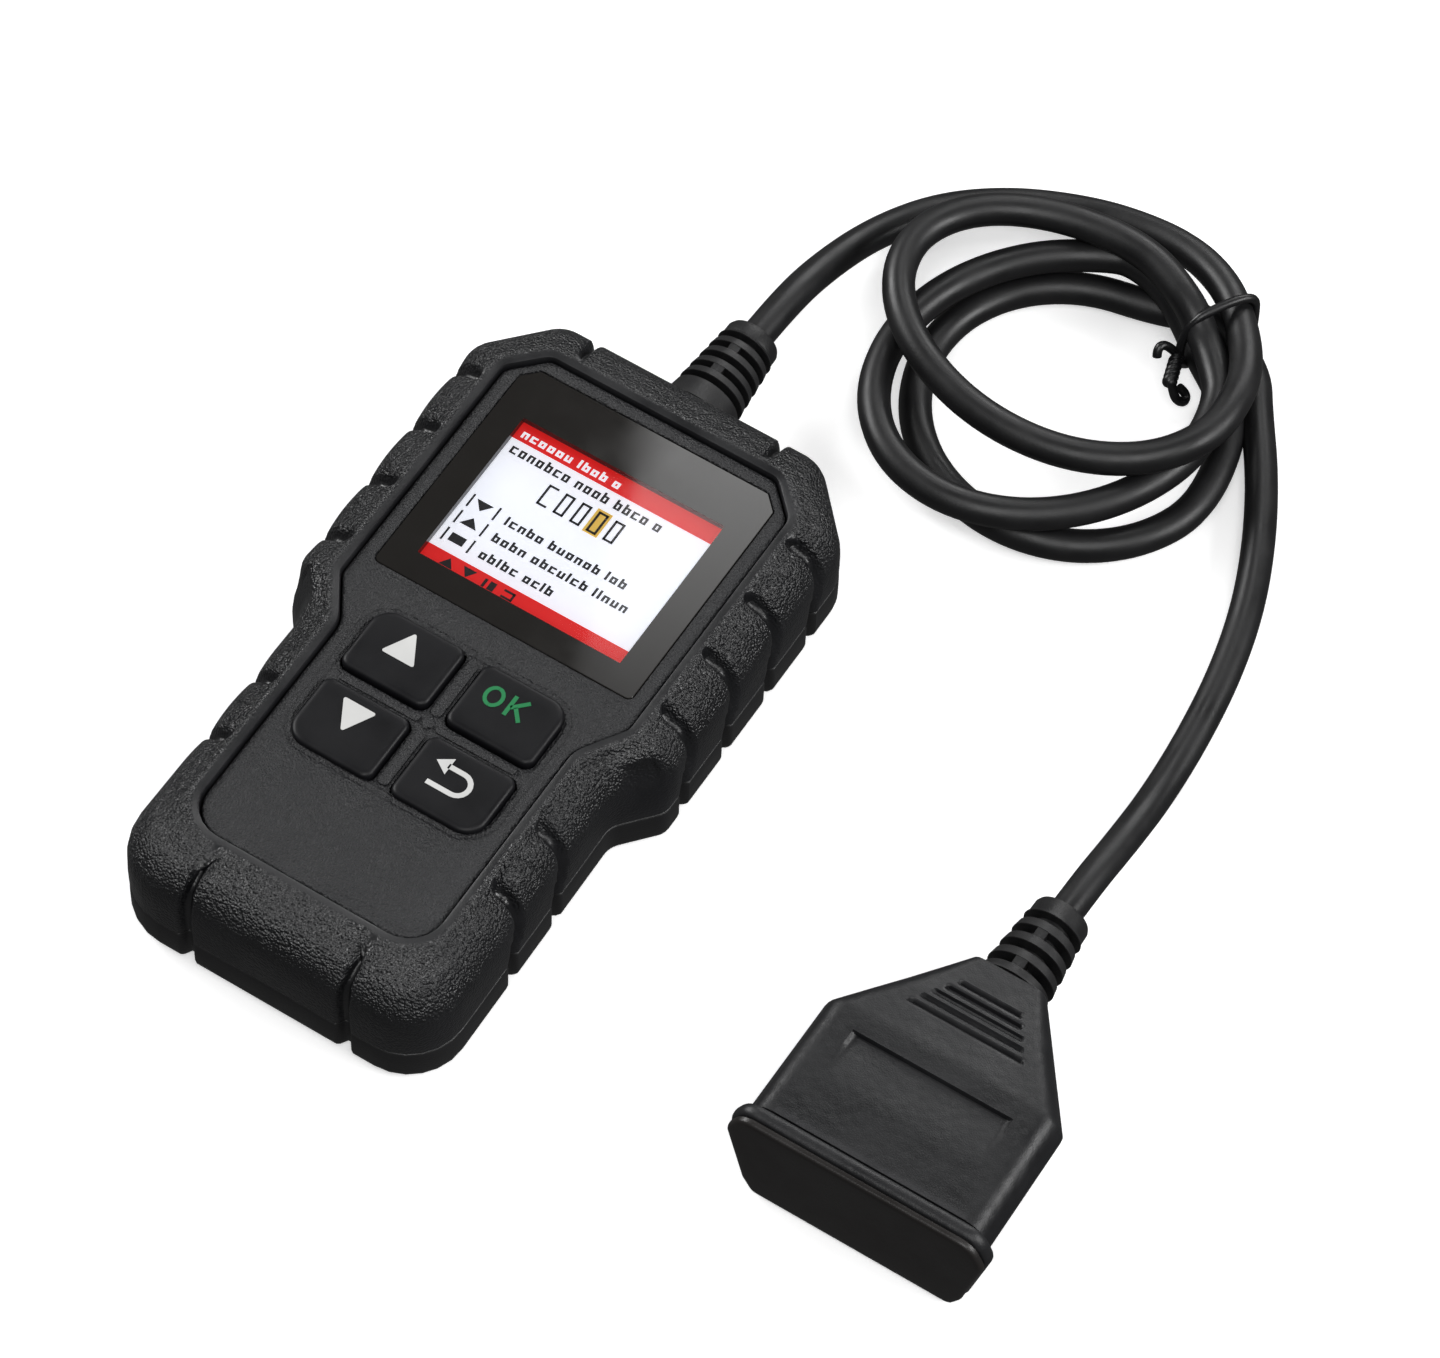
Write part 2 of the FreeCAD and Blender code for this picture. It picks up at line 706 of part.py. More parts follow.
# Centre line of the cable between the coil and the plug's strain relief.
tail_route = [
    (70.6, 112.6, 2.8),
    (77.4, 102.6, 2.8),
    (83.2, 91.6, 2.8),
    (87.8, 80.0, 2.8),
    (90.8, 67.6, 2.8),
    (92.4, 54.9, 2.8),
    (93.2, 42.6, 3.6),
    (93.5, 31.0, 6.6),
    (93.6, 21.8, 9.5),
    (93.6, 14.1, 10.2),
]


def build_tube(label, route):
    """Cable of the sheet's diameter along straight runs joined by tangent arcs."""
    points = [Vector(*point) for point in route]
    edges = []
    start = points[0]
    for before, corner, after in zip(points, points[1:], points[2:]):
        run_in = corner - before
        run_out = after - corner
        turn = run_in.getAngle(run_out)
        reach = 0.45 * min(run_in.Length, run_out.Length)
        radius = reach / math.tan(turn / 2)
        print(f"{label}: radius {radius:.1f} mm, turn {math.degrees(turn):.1f} degrees")
        arc_start = corner - run_in.normalize() * reach
        arc_end = corner + run_out.normalize() * reach
        inward = (run_out - run_in).normalize()
        middle = corner + inward * (radius / math.cos(turn / 2) - radius)
        edges.append(Part.LineSegment(start, arc_start).toShape())
        edges.append(Part.Arc(arc_start, middle, arc_end).toShape())
        start = arc_end
    edges.append(Part.LineSegment(start, points[-1]).toShape())
    path = Part.Wire(edges)
    radius = value("dims.cord_diameter / 2")
    circle = Part.Circle(points[0], points[1] - points[0], radius)
    ring = Part.Wire([circle.toShape()])
    tube = doc.addObject("Part::Feature", label)
    tube.Label = label
    tube.Shape = path.makePipeShell([ring], True, False)
    tube.Placement = Placement()
    expected = math.pi * radius * radius * path.Length
    print(f"{label}: length {path.Length:.1f} mm, volume {tube.Shape.Volume:.0f} of {expected:.0f}")
    parts.append(tube)


def build_coil():
    """Outer shape of the coil: an eccentric ring, lower and narrower where it is tied."""
    body = new_body("cord_coil")
    bearing = math.radians(value("dims.tie_bearing"))
    shift = [f"dims.coil_offset * {part}" for part in (math.cos(bearing), math.sin(bearing))]
    pad(body, "Ring", 0, "dims.coil_height",
        [(0, 0, "dims.coil_outer"), (*shift, "dims.coil_inner")])
    reach = "dims.coil_outer + 5"
    wedge = [
        (f"-({reach})", "dims.coil_height + 0.4"),
        ("-dims.coil_inner", "dims.coil_height"),
        ("dims.coil_outer", "2 * dims.cord_diameter + 0.4"),
        (reach, "2 * dims.cord_diameter"),
        (reach, "dims.coil_height + 5"),
        (f"-({reach})", "dims.coil_height + 5"),
    ]
    pocket(body, "Slope", f"-({reach})", f"2 * ({reach})", [wedge], "XZ_Plane")
    low = value("dims.cord_diameter")
    round_edges(body, "LowerRounds", "dims.cord_diameter / 2 - 0.2",
                lambda edge: edge.BoundBox.ZMax < low / 4, "Chamfer")
    place = Vector(value("dims.coil_across"), value("dims.coil_along"), 0)
    body.Placement = Placement(place, Rotation())


def build_coil_tie():
    """Wire twist tie round the bundle, with its twisted end inside the coil."""
    bearing = value("dims.tie_bearing")
    outward = Vector(math.cos(math.radians(bearing)), math.sin(math.radians(bearing)), 0)
    centre = Vector(value("dims.coil_across"), value("dims.coil_along"), 0)
    turned = Rotation(Vector(0, 0, 1), bearing)
    inner_edge = value("dims.coil_offset + dims.coil_inner")
    inner_name = "(dims.coil_outer - dims.coil_offset - dims.coil_inner)"
    blocks = []
    for name, skin, strip in (("TieOuter", "dims.tie_skin", "dims.tie_strip"),
                              ("TieInner", "0", "dims.tie_strip + 2")):
        block = doc.addObject("Part::Box", name)
        block.setExpression("Length", f"{inner_name} + 2 * {skin}")
        block.setExpression("Width", strip)
        block.setExpression("Height", f"2 * dims.cord_diameter + 1.2 + 2 * {skin} - dims.tie_skin")
        corner = turned.multVec(Vector(-value(skin), -value(strip) / 2, 0))
        lift = Vector(0, 0, value("dims.tie_skin") - value(skin) + 0.05)
        block.Placement = Placement(centre + outward * inner_edge + corner + lift, turned)
        blocks.append(block)
    band = doc.addObject("Part::Cut", "TieBand")
    band.Base = blocks[0]
    band.Tool = blocks[1]
    end = doc.addObject("Part::Cylinder", "TieEnd")
    end.setExpression("Radius", "dims.tie_strip * 0.4")
    end.setExpression("Height", "dims.tie_strip * 2.6")
    end_place = centre + outward * (inner_edge - 0.1) + Vector(0, 0, 7)
    backward = Vector(outward.y * 0.55, -outward.x * 0.55, 0) - outward * 0.5
    end.Placement = Placement(end_place, Rotation(Vector(0, 0, 1), backward))
    tie = doc.addObject("Part::Fuse", "coil_tie")
    tie.Label = "coil_tie"
    tie.Base = band
    tie.Tool = end
    parts.append(tie)


# ---------------------------------------------------------------- plug


def plug_section(width, height):
    """D-shaped section, wider above its middle, as seen from the mouth."""
    half = f"(({width}) / 2)"
    tall = f"(({height}) / 2)"
    return mirrored([
        (f"{half} * 0.9", tall),
        (half, f"{tall} * 0.55"),
        (f"{half} * 0.86", f"-{tall} * 0.7"),
        (f"{half} * 0.78", f"-{tall}"),
    ])


def place_plug(body):
    """Put a body that is drawn round the plug's own axis where the plug lies."""
    centre = Vector(value("dims.plug_across"), 0, value("dims.plug_level"))
    body.Placement = Placement(centre, Rotation())


def build_plug_housing():
    """Moulded plug body: neck, shoulders, straight front, rim, cavity, ridges and recess."""
    body = new_body("plug_housing")
    loft(body, "Shoulders", [
        ("-dims.plug_neck", plug_section("dims.neck_width", "dims.neck_height")),
        ("-dims.plug_shoulder", plug_section("dims.plug_width", "dims.plug_height")),
        ("-dims.plug_body_front", plug_section("dims.plug_width + 0.4", "dims.plug_height")),
    ], "XZ_Plane")
    pad(body, "Rim", "-dims.plug_body_front", "dims.plug_body_front - dims.plug_mouth",
        [plug_section("dims.rim_width", "dims.rim_height")], "XZ_Plane")
    cavity = plug_section("dims.cavity_width", "dims.cavity_height")
    pocket(body, "Cavity", "-dims.insulator_back", "40", [cavity], "XZ_Plane")
    for index in range(5):
        along = 7.6 + 1.75 * index
        slope = "(dims.plug_height - dims.neck_height) / (dims.plug_neck - dims.plug_shoulder) / 2"
        surface = f"dims.neck_height / 2 + ({along} + dims.plug_neck) * {slope}"
        groove = box(0, -along, f"{10.4 + 2.2 * index}", "0.8")
        pocket(body, f"Grip{index}", f"{surface} - 0.8", "5", [groove])
    pocket(body, "ThumbRecess", "dims.plug_height / 2 - 0.5", "1", [box(0, -28.5, "26.5", 8.5)])
    place_plug(body)


def build_plug_contacts():
    """Insulator with its dividing tongue, and two rows of eight blades."""
    block = new_body("contact_block")
    core = plug_section("dims.cavity_width - 0.2", "dims.cavity_height - 0.2")
    pad(block, "Block", "-dims.insulator_back + 0.05",
        "dims.insulator_back - dims.cavity_floor - 0.05", [core], "XZ_Plane")
    pad(block, "Tongue", "-dims.cavity_floor", "dims.cavity_floor - dims.blade_tip",
        [box(0, 0, "27", "2.2")], "XZ_Plane")
    for label, side in (("upper_contacts", 1), ("lower_contacts", -1)):
        body = new_body(label)
        level = f"{side} * dims.blade_row"
        blades = [
            box(f"{index - 3.5} * dims.blade_pitch * {1 if side > 0 else 0.93}", level,
                "dims.blade_width", "dims.blade_skin")
            for index in range(8)
        ]
        pad(body, "Blades", "-dims.cavity_floor", "dims.cavity_floor - dims.blade_tip",
            blades, "XZ_Plane")
        place_plug(body)
    place_plug(block)


def build_dust_cap():
    """Plain cover over the plug's mouth, with a rim that pushes into the cavity."""
    body = new_body("dust_cap")
    pad(body, "Plate", "-dims.plug_mouth + 0.1", "dims.cap_skin",
        [plug_section("dims.rim_width - 0.6", "dims.rim_height - 0.6")], "XZ_Plane")
    fit = "0.3"
    outer = plug_section(f"dims.cavity_width - 2 * {fit}", f"dims.cavity_height - 2 * {fit}")
    inner_cut = f"2 * {fit} - 2 * dims.cap_wall"
    inner = plug_section(f"dims.cavity_width - {inner_cut}", f"dims.cavity_height - {inner_cut}")
    pad(body, "Spigot", "-dims.plug_mouth - dims.cap_spigot", "dims.cap_spigot + 0.2",
        [outer, inner], "XZ_Plane")
    place_plug(body)


# ---------------------------------------------------------------- build and export


build_rear_shell()
build_front_bumper()
build_front_panel()
build_window()
build_display()
build_keys()
build_board()
build_screws()
build_rear_label()
build_grommet()
build_tube("cord_lead", lead_route)
build_coil()
build_tube("cord_tail", tail_route)
build_coil_tie()
build_plug_relief()
build_plug_housing()
build_plug_contacts()
build_dust_cap()
doc.recompute()

for item in doc.Objects:
    if "Invalid" in item.State or "Error" in item.State:
        raise RuntimeError(f"{item.Label} failed: {item.State}")
for part in parts:
    if part.Shape.isNull() or not part.Shape.isValid():
        raise RuntimeError(f"{part.Label} has no valid shape")

os.makedirs("parts", exist_ok=True)
for part in parts:
    part.Shape.exportStep(f"parts/{part.Label}.step")
    bounds = part.Shape.BoundBox
    print(f"{part.Label}: solids {len(part.Shape.Solids)}, volume {part.Shape.Volume:.0f}, "
          f"x {bounds.XMin:.1f}..{bounds.XMax:.1f}, y {bounds.YMin:.1f}..{bounds.YMax:.1f}, "
          f"z {bounds.ZMin:.1f}..{bounds.ZMax:.1f}")
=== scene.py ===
import math
import random

import bmesh
import bpy
from mathutils import Matrix, Vector


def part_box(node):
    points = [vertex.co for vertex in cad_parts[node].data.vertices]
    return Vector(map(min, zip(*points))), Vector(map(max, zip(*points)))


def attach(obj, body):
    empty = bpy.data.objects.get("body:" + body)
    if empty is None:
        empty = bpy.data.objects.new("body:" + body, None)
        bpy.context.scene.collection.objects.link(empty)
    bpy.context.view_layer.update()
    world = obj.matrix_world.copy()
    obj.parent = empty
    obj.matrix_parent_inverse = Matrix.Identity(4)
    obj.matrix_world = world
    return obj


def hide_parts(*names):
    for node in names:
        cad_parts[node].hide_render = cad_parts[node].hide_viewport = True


# Hand-held code reader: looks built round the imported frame. Lengths below are millimetres
# in the part's own frame, and MM turns them into Blender's metres.

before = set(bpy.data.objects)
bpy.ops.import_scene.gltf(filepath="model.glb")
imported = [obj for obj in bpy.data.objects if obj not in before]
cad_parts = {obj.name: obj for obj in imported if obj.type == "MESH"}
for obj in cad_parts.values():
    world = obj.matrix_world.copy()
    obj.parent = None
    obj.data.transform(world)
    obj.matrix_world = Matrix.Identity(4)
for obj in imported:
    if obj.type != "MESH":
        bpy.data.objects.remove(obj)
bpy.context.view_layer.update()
MM = 0.001


def low(node):
    """Lowest corner of a CAD node, in millimetres."""
    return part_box(node)[0] / MM


def high(node):
    """Highest corner of a CAD node, in millimetres."""
    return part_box(node)[1] / MM


# ---------------- camera


def make_camera():
    """Camera above and in front of the reader's lower right corner."""
    right = Vector((0.8442725, 0.5355781, 0.0189763))
    down = Vector((0.4630028, -0.7111202, -0.5290903))
    forward = Vector((-0.2698747, 0.4554825, -0.8483533))
    place = Vector((304.6956, -444.5403, 877.6658)) * MM
    camera = bpy.data.objects.new("camera", bpy.data.cameras.new("camera"))
    turn = Matrix((right, -down, -forward)).transposed()
    camera.matrix_world = Matrix.Translation(place) @ turn.to_4x4()
    camera.data.sensor_width = 36.0
    camera.data.lens = 168.847
    camera.data.clip_start = 0.05
    camera.data.clip_end = 20.0
    bpy.context.collection.objects.link(camera)
    bpy.context.scene.camera = camera


make_camera()


# ---------------- materials


def node_tree(name):
    """New material with its principled shader: (material, nodes, links, shader)."""
    material = bpy.data.materials.new(name)
    material.use_nodes = True
    nodes = material.node_tree.nodes
    return material, nodes, material.node_tree.links, nodes["Principled BSDF"]


def add_node(nodes, kind, values=None):
    """New shader node of a kind, with the given values on its own sockets."""
    node = nodes.new("ShaderNode" + kind)
    for socket, value in (values or {}).items():
        node.inputs[socket].default_value = value
    return node


CLOUD_SIZE = 7.0
# Pointiness range over which convex edges fade into the painted highlight.
HIGHLIGHT_FROM, HIGHLIGHT_FULL = 0.515, 0.60


def surface(name, colour, roughness, grain=0.3, depth=0.02, cells=0.0, cell_depth=0.0,
            mottle=0.25, edge_highlight=0.0, metallic=0.0, specular=0.5, coat=0.0,
            mask=None, stretch=(1, 1, 1), emission=0.0, uneven=1.0):
    """Moulded or coated surface: mottled colour, uneven roughness, fine and coarse relief.

    grain and cells are the sizes of the fine and the coarse relief in millimetres, and
    mask names a point attribute that fades the coarse relief out.
    """
    material, nodes, links, shader = node_tree(name)
    place = add_node(nodes, "TexCoord")
    mapping = add_node(nodes, "Mapping", {"Scale": stretch})
    links.new(place.outputs["Object"], mapping.inputs["Vector"])

    def noise_of(size, detail):
        texture = add_node(nodes, "TexNoise", {"Scale": 1 / (size * MM), "Detail": detail})
        links.new(mapping.outputs["Vector"], texture.inputs["Vector"])
        return texture.outputs["Fac"]

    clouds = noise_of(CLOUD_SIZE, 4)
    fine = noise_of(grain, 3)
    shade = add_node(nodes, "Mix", {6: (*[c * (1 - mottle) for c in colour], 1),
                                    7: (*[min(c * (1 + mottle), 1) for c in colour], 1)})
    shade.data_type = "RGBA"
    links.new(clouds, shade.inputs[0])
    tint = shade.outputs[2]
    # Painted highlight: convex edges, found by pointiness, are mixed up to the given share
    # towards a paler copy of the colour. This stands in for the light that rounded edges catch.
    if edge_highlight:
        edge = add_node(nodes, "NewGeometry")
        ramp = add_node(nodes, "MapRange", {"From Min": HIGHLIGHT_FROM, "From Max": HIGHLIGHT_FULL,
                                            "To Max": edge_highlight})
        links.new(edge.outputs["Pointiness"], ramp.inputs["Value"])
        highlit = add_node(nodes, "Mix", {7: (*[min(c * 3 + 0.03, 1) for c in colour], 1)})
        highlit.data_type = "RGBA"
        links.new(ramp.outputs["Result"], highlit.inputs[0])
        links.new(tint, highlit.inputs[6])
        tint = highlit.outputs[2]
    links.new(tint, shader.inputs["Base Color"])

    spread = add_node(nodes, "MapRange", {"From Min": 0.3, "From Max": 0.7,
                                          "To Min": max(roughness - 0.08 * uneven, 0.02),
                                          "To Max": min(roughness + 0.10 * uneven, 1.0)})
    links.new(clouds, spread.inputs["Value"])
    links.new(spread.outputs["Result"], shader.inputs["Roughness"])

    relief = add_node(nodes, "Bump", {"Distance": depth * MM})
    links.new(fine, relief.inputs["Height"])
    if cells:
        pebbles = add_node(nodes, "TexVoronoi")
        pebbles.feature = "SMOOTH_F1"
        pebbles.inputs["Scale"].default_value = 1 / (cells * MM)
        pebbles.inputs["Smoothness"].default_value = 0.35
        links.new(mapping.outputs["Vector"], pebbles.inputs["Vector"])
        wobble = noise_of(cells * 1.7, 2)
        height = add_node(nodes, "Math")
        height.operation = "SUBTRACT"
        links.new(wobble, height.inputs[0])
        links.new(pebbles.outputs["Distance"], height.inputs[1])
        coarse = add_node(nodes, "Bump", {"Distance": cell_depth * MM})
        links.new(height.outputs["Value"], coarse.inputs["Height"])
        if mask:
            share = add_node(nodes, "Attribute")
            share.attribute_name = mask
            links.new(share.outputs["Fac"], coarse.inputs["Strength"])
        links.new(relief.outputs["Normal"], coarse.inputs["Normal"])
        relief = coarse
    links.new(relief.outputs["Normal"], shader.inputs["Normal"])
    for socket, value in (("Metallic", metallic), ("Specular IOR Level", specular),
                          ("Coat Weight", coat), ("Coat Roughness", 0.08)):
        shader.inputs[socket].default_value = value
    if emission:
        shader.inputs["Emission Color"].default_value = (*colour, 1)
        shader.inputs["Emission Strength"].default_value = emission
    return material


def clear_glass(name):
    """Thin clear window: see-through, with a Fresnel reflection and faint smears."""
    material, nodes, links, shader = node_tree(name)
    place = add_node(nodes, "TexCoord")
    smear = add_node(nodes, "TexNoise", {"Scale": 90.0, "Detail": 5})
    spread = add_node(nodes, "MapRange", {"To Min": 0.02, "To Max": 0.05})
    gloss = add_node(nodes, "BsdfGlossy")
    clear = add_node(nodes, "BsdfTransparent")
    fresnel = add_node(nodes, "Fresnel", {"IOR": 1.5})
    blend = add_node(nodes, "MixShader")
    links.new(place.outputs["Object"], smear.inputs["Vector"])
    links.new(smear.outputs["Fac"], spread.inputs["Value"])
    links.new(spread.outputs["Result"], gloss.inputs["Roughness"])
    links.new(fresnel.outputs["Fac"], blend.inputs[0])
    links.new(clear.outputs["BSDF"], blend.inputs[1])
    links.new(gloss.outputs["BSDF"], blend.inputs[2])
    links.new(blend.outputs["Shader"], nodes["Material Output"].inputs["Surface"])
    nodes.remove(shader)
    return material


# Every finish: name, base colour, roughness, relief, gloss and painted edge highlight, and the
# CAD nodes that have it.
FINISHES = (
    ("bumper_rubber", (0.0055, 0.0057, 0.0068), 0.36,
     dict(grain=0.25, depth=0.03, cells=0.42, cell_depth=0.34, mask="grain", edge_highlight=0.2,
          mottle=0.3, specular=0.6), "front_bumper"),
    ("case_plastic", (0.008, 0.008, 0.0085), 0.42, dict(depth=0.05, edge_highlight=0.2), "rear_shell"),
    ("panel_plastic", (0.0060, 0.0062, 0.0075), 0.46,
     dict(grain=0.2, depth=0.12, cells=0.36, cell_depth=0.2, edge_highlight=0.15), "front_panel"),
    ("key_silicone", (0.0025, 0.0025, 0.0035), 0.42,
     dict(grain=0.2, depth=0.012, edge_highlight=0.15, specular=0.28),
     "key_up key_ok key_down key_back keypad_web"),
    ("plug_plastic", (0.0060, 0.0062, 0.0072), 0.42,
     dict(grain=0.25, depth=0.04, cells=1.6, cell_depth=0.05, edge_highlight=0.25), "plug_housing"),
    ("cap_plastic", (0.010, 0.0085, 0.008), 0.34, dict(edge_highlight=0.2), "dust_cap"),
    ("relief_rubber", (0.006, 0.006, 0.0065), 0.45, dict(grain=0.25, depth=0.04, edge_highlight=0.2),
     "cable_grommet plug_relief"),
    ("cord_jacket", (0.0065, 0.0065, 0.007), 0.42, dict(grain=0.5, mottle=0.2),
     "cord_lead cord_coil cord_tail"),
    ("tie_plastic", (0.005, 0.005, 0.0055), 0.35, dict(depth=0.03), "coil_tie"),
    ("lens_print", (0.012, 0.011, 0.010), 0.06, dict(depth=0.0, mottle=0.1, uneven=0.2), ""),
    ("print_white", (0.55, 0.55, 0.54), 0.5, dict(grain=0.15, depth=0.01, mottle=0.1), ""),
    ("print_green", (0.004, 0.17, 0.05), 0.5, dict(grain=0.15, depth=0.01, mottle=0.1), ""),
    ("screen_white", (0.80, 0.82, 0.88), 0.5,
     dict(grain=0.12, depth=0.002, mottle=0.02, emission=0.6), "display_glass"),
    ("screen_red", (0.75, 0.008, 0.008), 0.5,
     dict(grain=0.12, depth=0.002, mottle=0.05, emission=0.35), ""),
    ("screen_ink", (0.01, 0.01, 0.012), 0.5, dict(grain=0.12, depth=0.002), ""),
    ("screen_amber", (0.85, 0.55, 0.10), 0.5,
     dict(grain=0.12, depth=0.002, mottle=0.03, emission=0.2), ""),
    ("tape", (0.03, 0.03, 0.03), 0.6, dict(mottle=0.15), "lens_adhesive"),
    ("foam", (0.05, 0.05, 0.05), 0.9, dict(grain=0.4, depth=0.15), "display_foam"),
    ("light_guide", (0.75, 0.76, 0.78), 0.25, dict(depth=0.005, mottle=0.04),
     "display_backlight"),
    ("steel", (0.55, 0.55, 0.56), 0.3, dict(metallic=1.0, stretch=(1, 8, 1), mottle=0.08),
     "display_frame"),
    ("flex_circuit", (0.42, 0.16, 0.03), 0.35, dict(mottle=0.15), "display_flex"),
    ("switch_plastic", (0.05, 0.05, 0.055), 0.5, {}, "tact_switches"),
    ("plunger_plastic", (0.30, 0.05, 0.03), 0.45, {}, "switch_plungers"),
    ("board", (0.010, 0.085, 0.030), 0.35, dict(grain=0.8, cells=2.4, cell_depth=0.03),
     "main_board"),
    ("chip", (0.02, 0.02, 0.022), 0.55, dict(grain=0.2),
     "processor bus_transceiver line_driver voltage_regulator power_inductor resistors"),
    ("aluminium_can", (0.62, 0.63, 0.64), 0.35, dict(metallic=1.0, mottle=0.08), "crystal"),
    ("nylon", (0.72, 0.70, 0.62), 0.5, dict(mottle=0.06), "capacitors cable_header cable_socket"),
    ("core_insulation", (0.30, 0.03, 0.02), 0.45, {}, "cable_cores"),
    ("zinc_screw", (0.50, 0.50, 0.48), 0.32, dict(metallic=1.0, mottle=0.15),
     "case_screws board_screws"),
    ("label_film", (0.32, 0.33, 0.34), 0.4, dict(grain=0.5, depth=0.01, mottle=0.06, coat=0.3),
     "rear_label"),
    ("insulator", (0.03, 0.03, 0.032), 0.5, dict(mottle=0.2), "contact_block"),
    ("contact_brass", (0.70, 0.52, 0.24), 0.28, dict(metallic=1.0, mottle=0.12),
     "upper_contacts lower_contacts"),
)


def make_finishes():
    """Make every finish, give it to its CAD nodes, and return the finishes by name."""
    made = {"window_glass": (clear_glass("window_glass"), "lens_window")}
    for name, colour, roughness, options, nodes in FINISHES:
        made[name] = (surface(name, colour, roughness, **options), nodes)
    for finish, nodes in made.values():
        for node in nodes.split():
            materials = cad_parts[node].data.materials
            materials.clear()
            materials.append(finish)
    return {name: finish for name, (finish, nodes) in made.items()}


finishes = make_finishes()


# ---------------- mesh helpers


def new_piece(name, body, shell, looks, replaced=(), attribute=None, sharp=35.0):
    """Mesh piece from a shell in millimetres, whose kinds choose each face's finish."""
    mesh = bpy.data.meshes.new(name)
    mesh.from_pydata([Vector(p) * MM for p in shell.points], [], shell.faces)
    mesh.validate()
    piece = bpy.data.objects.new(name, mesh)
    bpy.context.collection.objects.link(piece)
    for look in looks:
        mesh.materials.append(finishes[look])
    for polygon, kind in zip(mesh.polygons, shell.kinds):
        polygon.material_index = kind
    if attribute:
        label, values = attribute
        store = mesh.attributes.new(label, "FLOAT", "POINT")
        store.data.foreach_set("value", values)
    mesh.shade_smooth()
    mesh.set_sharp_from_angle(angle=math.radians(sharp))
    return place_piece(piece, body, replaced)


def place_piece(piece, body, replaced=()):
    """Ride a piece on its body and hide the CAD nodes it stands for."""
    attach(piece, body)
    if replaced:
        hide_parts(*replaced)
    return piece


class Shell:
    """Points and faces gathered from closed rings and flat faces."""

    def __init__(self):
        self.points = []
        self.faces = []
        self.kinds = []
        self.kind = 0

    def ring(self, points):
        start = len(self.points)
        self.points += [tuple(p) for p in points]
        return list(range(start, len(self.points)))

    def face(self, indices):
        self.faces.append(list(indices))
        self.kinds.append(self.kind)

    def bridge(self, first, second, flip=False):
        count = len(first)
        for i in range(count):
            j = (i + 1) % count
            quad = [first[i], first[j], second[j], second[i]]
            self.face(quad[::-1] if flip else quad)

    def rings(self, rows, flip=False):
        """Bridge several rings in turn and return their indices."""
        made = [self.ring(row) for row in rows]
        for first, second in zip(made, made[1:]):
            self.bridge(first, second, flip)
        return made

    def solid(self, rows, flip=False):
        """Bridge several rings in turn and close both ends."""
        made = self.rings(rows, flip)
        self.cap(made[0], not flip)
        self.cap(made[-1], flip)

    def fill(self, loops, up=True):
        """Flat face inside the first loop and outside the others, as triangles."""
        work = bmesh.new()
        edges = []
        names = {}
        for loop in loops:
            corners = [work.verts.new(self.points[i]) for i in loop]
            for vertex, index in zip(corners, loop):
                names[vertex] = index
            edges += [work.edges.new((corners[i - 1], corners[i])) for i in range(len(corners))]
        made = bmesh.ops.triangle_fill(work, use_beauty=True, edges=edges)
        for item in made["geom"]:
            if isinstance(item, bmesh.types.BMFace):
                indices = [names[vertex] for vertex in item.verts]
                a, b, c = (Vector(self.points[i]) for i in indices)
                rises = (b - a).cross(c - a).z > 0
                self.face(indices if rises == up else indices[::-1])
        work.free()

    def cap(self, loop, flip=False):
        self.face(loop[::-1] if flip else loop)


def cross(a, b):
    """Signed area of the parallelogram on two directions."""
    return a[0] * b[1] - a[1] * b[0]


SMALLEST_RADIUS = 0.15


def rounded(corners, inset=0.0, arc=6, steps=None, step=None):
    """Counter-clockwise outline of rounded corners (x, y, radius), moved inwards by inset.

    steps gives the number of points on each straight edge, so that two outlines with the
    same steps match point by point; step gives their spacing instead.
    """
    count = len(corners)
    ways = []
    for i in range(count):
        a, b = corners[i], corners[(i + 1) % count]
        length = math.hypot(b[0] - a[0], b[1] - a[1])
        ways.append(((b[0] - a[0]) / length, (b[1] - a[1]) / length))
    arcs = []
    for i, (x, y, radius) in enumerate(corners):
        before, after = ways[i - 1], ways[i]
        turn = cross(before, after)
        if abs(turn) < 1e-6:
            x, y = x - after[1] * inset, y + after[0] * inset
        else:
            x += (after[0] - before[0]) * inset / turn
            y += (after[1] - before[1]) * inset / turn
        radius = max(radius - inset, SMALLEST_RADIUS) if turn > 0 else radius + inset
        angle = math.atan2(turn, before[0] * after[0] + before[1] * after[1])
        reach = radius * math.tan(abs(angle) / 2)
        start = (x - before[0] * reach, y - before[1] * reach)
        side = 1 if angle > 0 else -1
        centre = (start[0] - before[1] * radius * side, start[1] + before[0] * radius * side)
        first = math.atan2(start[1] - centre[1], start[0] - centre[0])
        arcs.append([
            (centre[0] + radius * math.cos(first + angle * k / arc),
             centre[1] + radius * math.sin(first + angle * k / arc))
            for k in range(arc + 1)
        ])
    points = []
    for i in range(count):
        points += arcs[i]
        a, b = arcs[i][-1], arcs[(i + 1) % count][0]
        whole = math.dist(corners[i][:2], corners[(i + 1) % count][:2])
        between = steps[i] if steps else (int(whole / step) if step else 0)
        for k in range(1, between + 1):
            share = k / (between + 1)
            points.append((a[0] + (b[0] - a[0]) * share, a[1] + (b[1] - a[1]) * share))
    return points


def edge_steps(corners, step):
    """Number of points that each straight edge of an outline needs for a given spacing."""
    count = len(corners)
    return [
        max(int(math.dist(corners[i][:2], corners[(i + 1) % count][:2]) / step), 1)
        for i in range(count)
    ]


def both_sides(half):
    """Whole outline, counter-clockwise, from its right half listed from top to bottom."""
    left = [(-x, y, radius) for x, y, radius in half]
    return left + half[::-1]


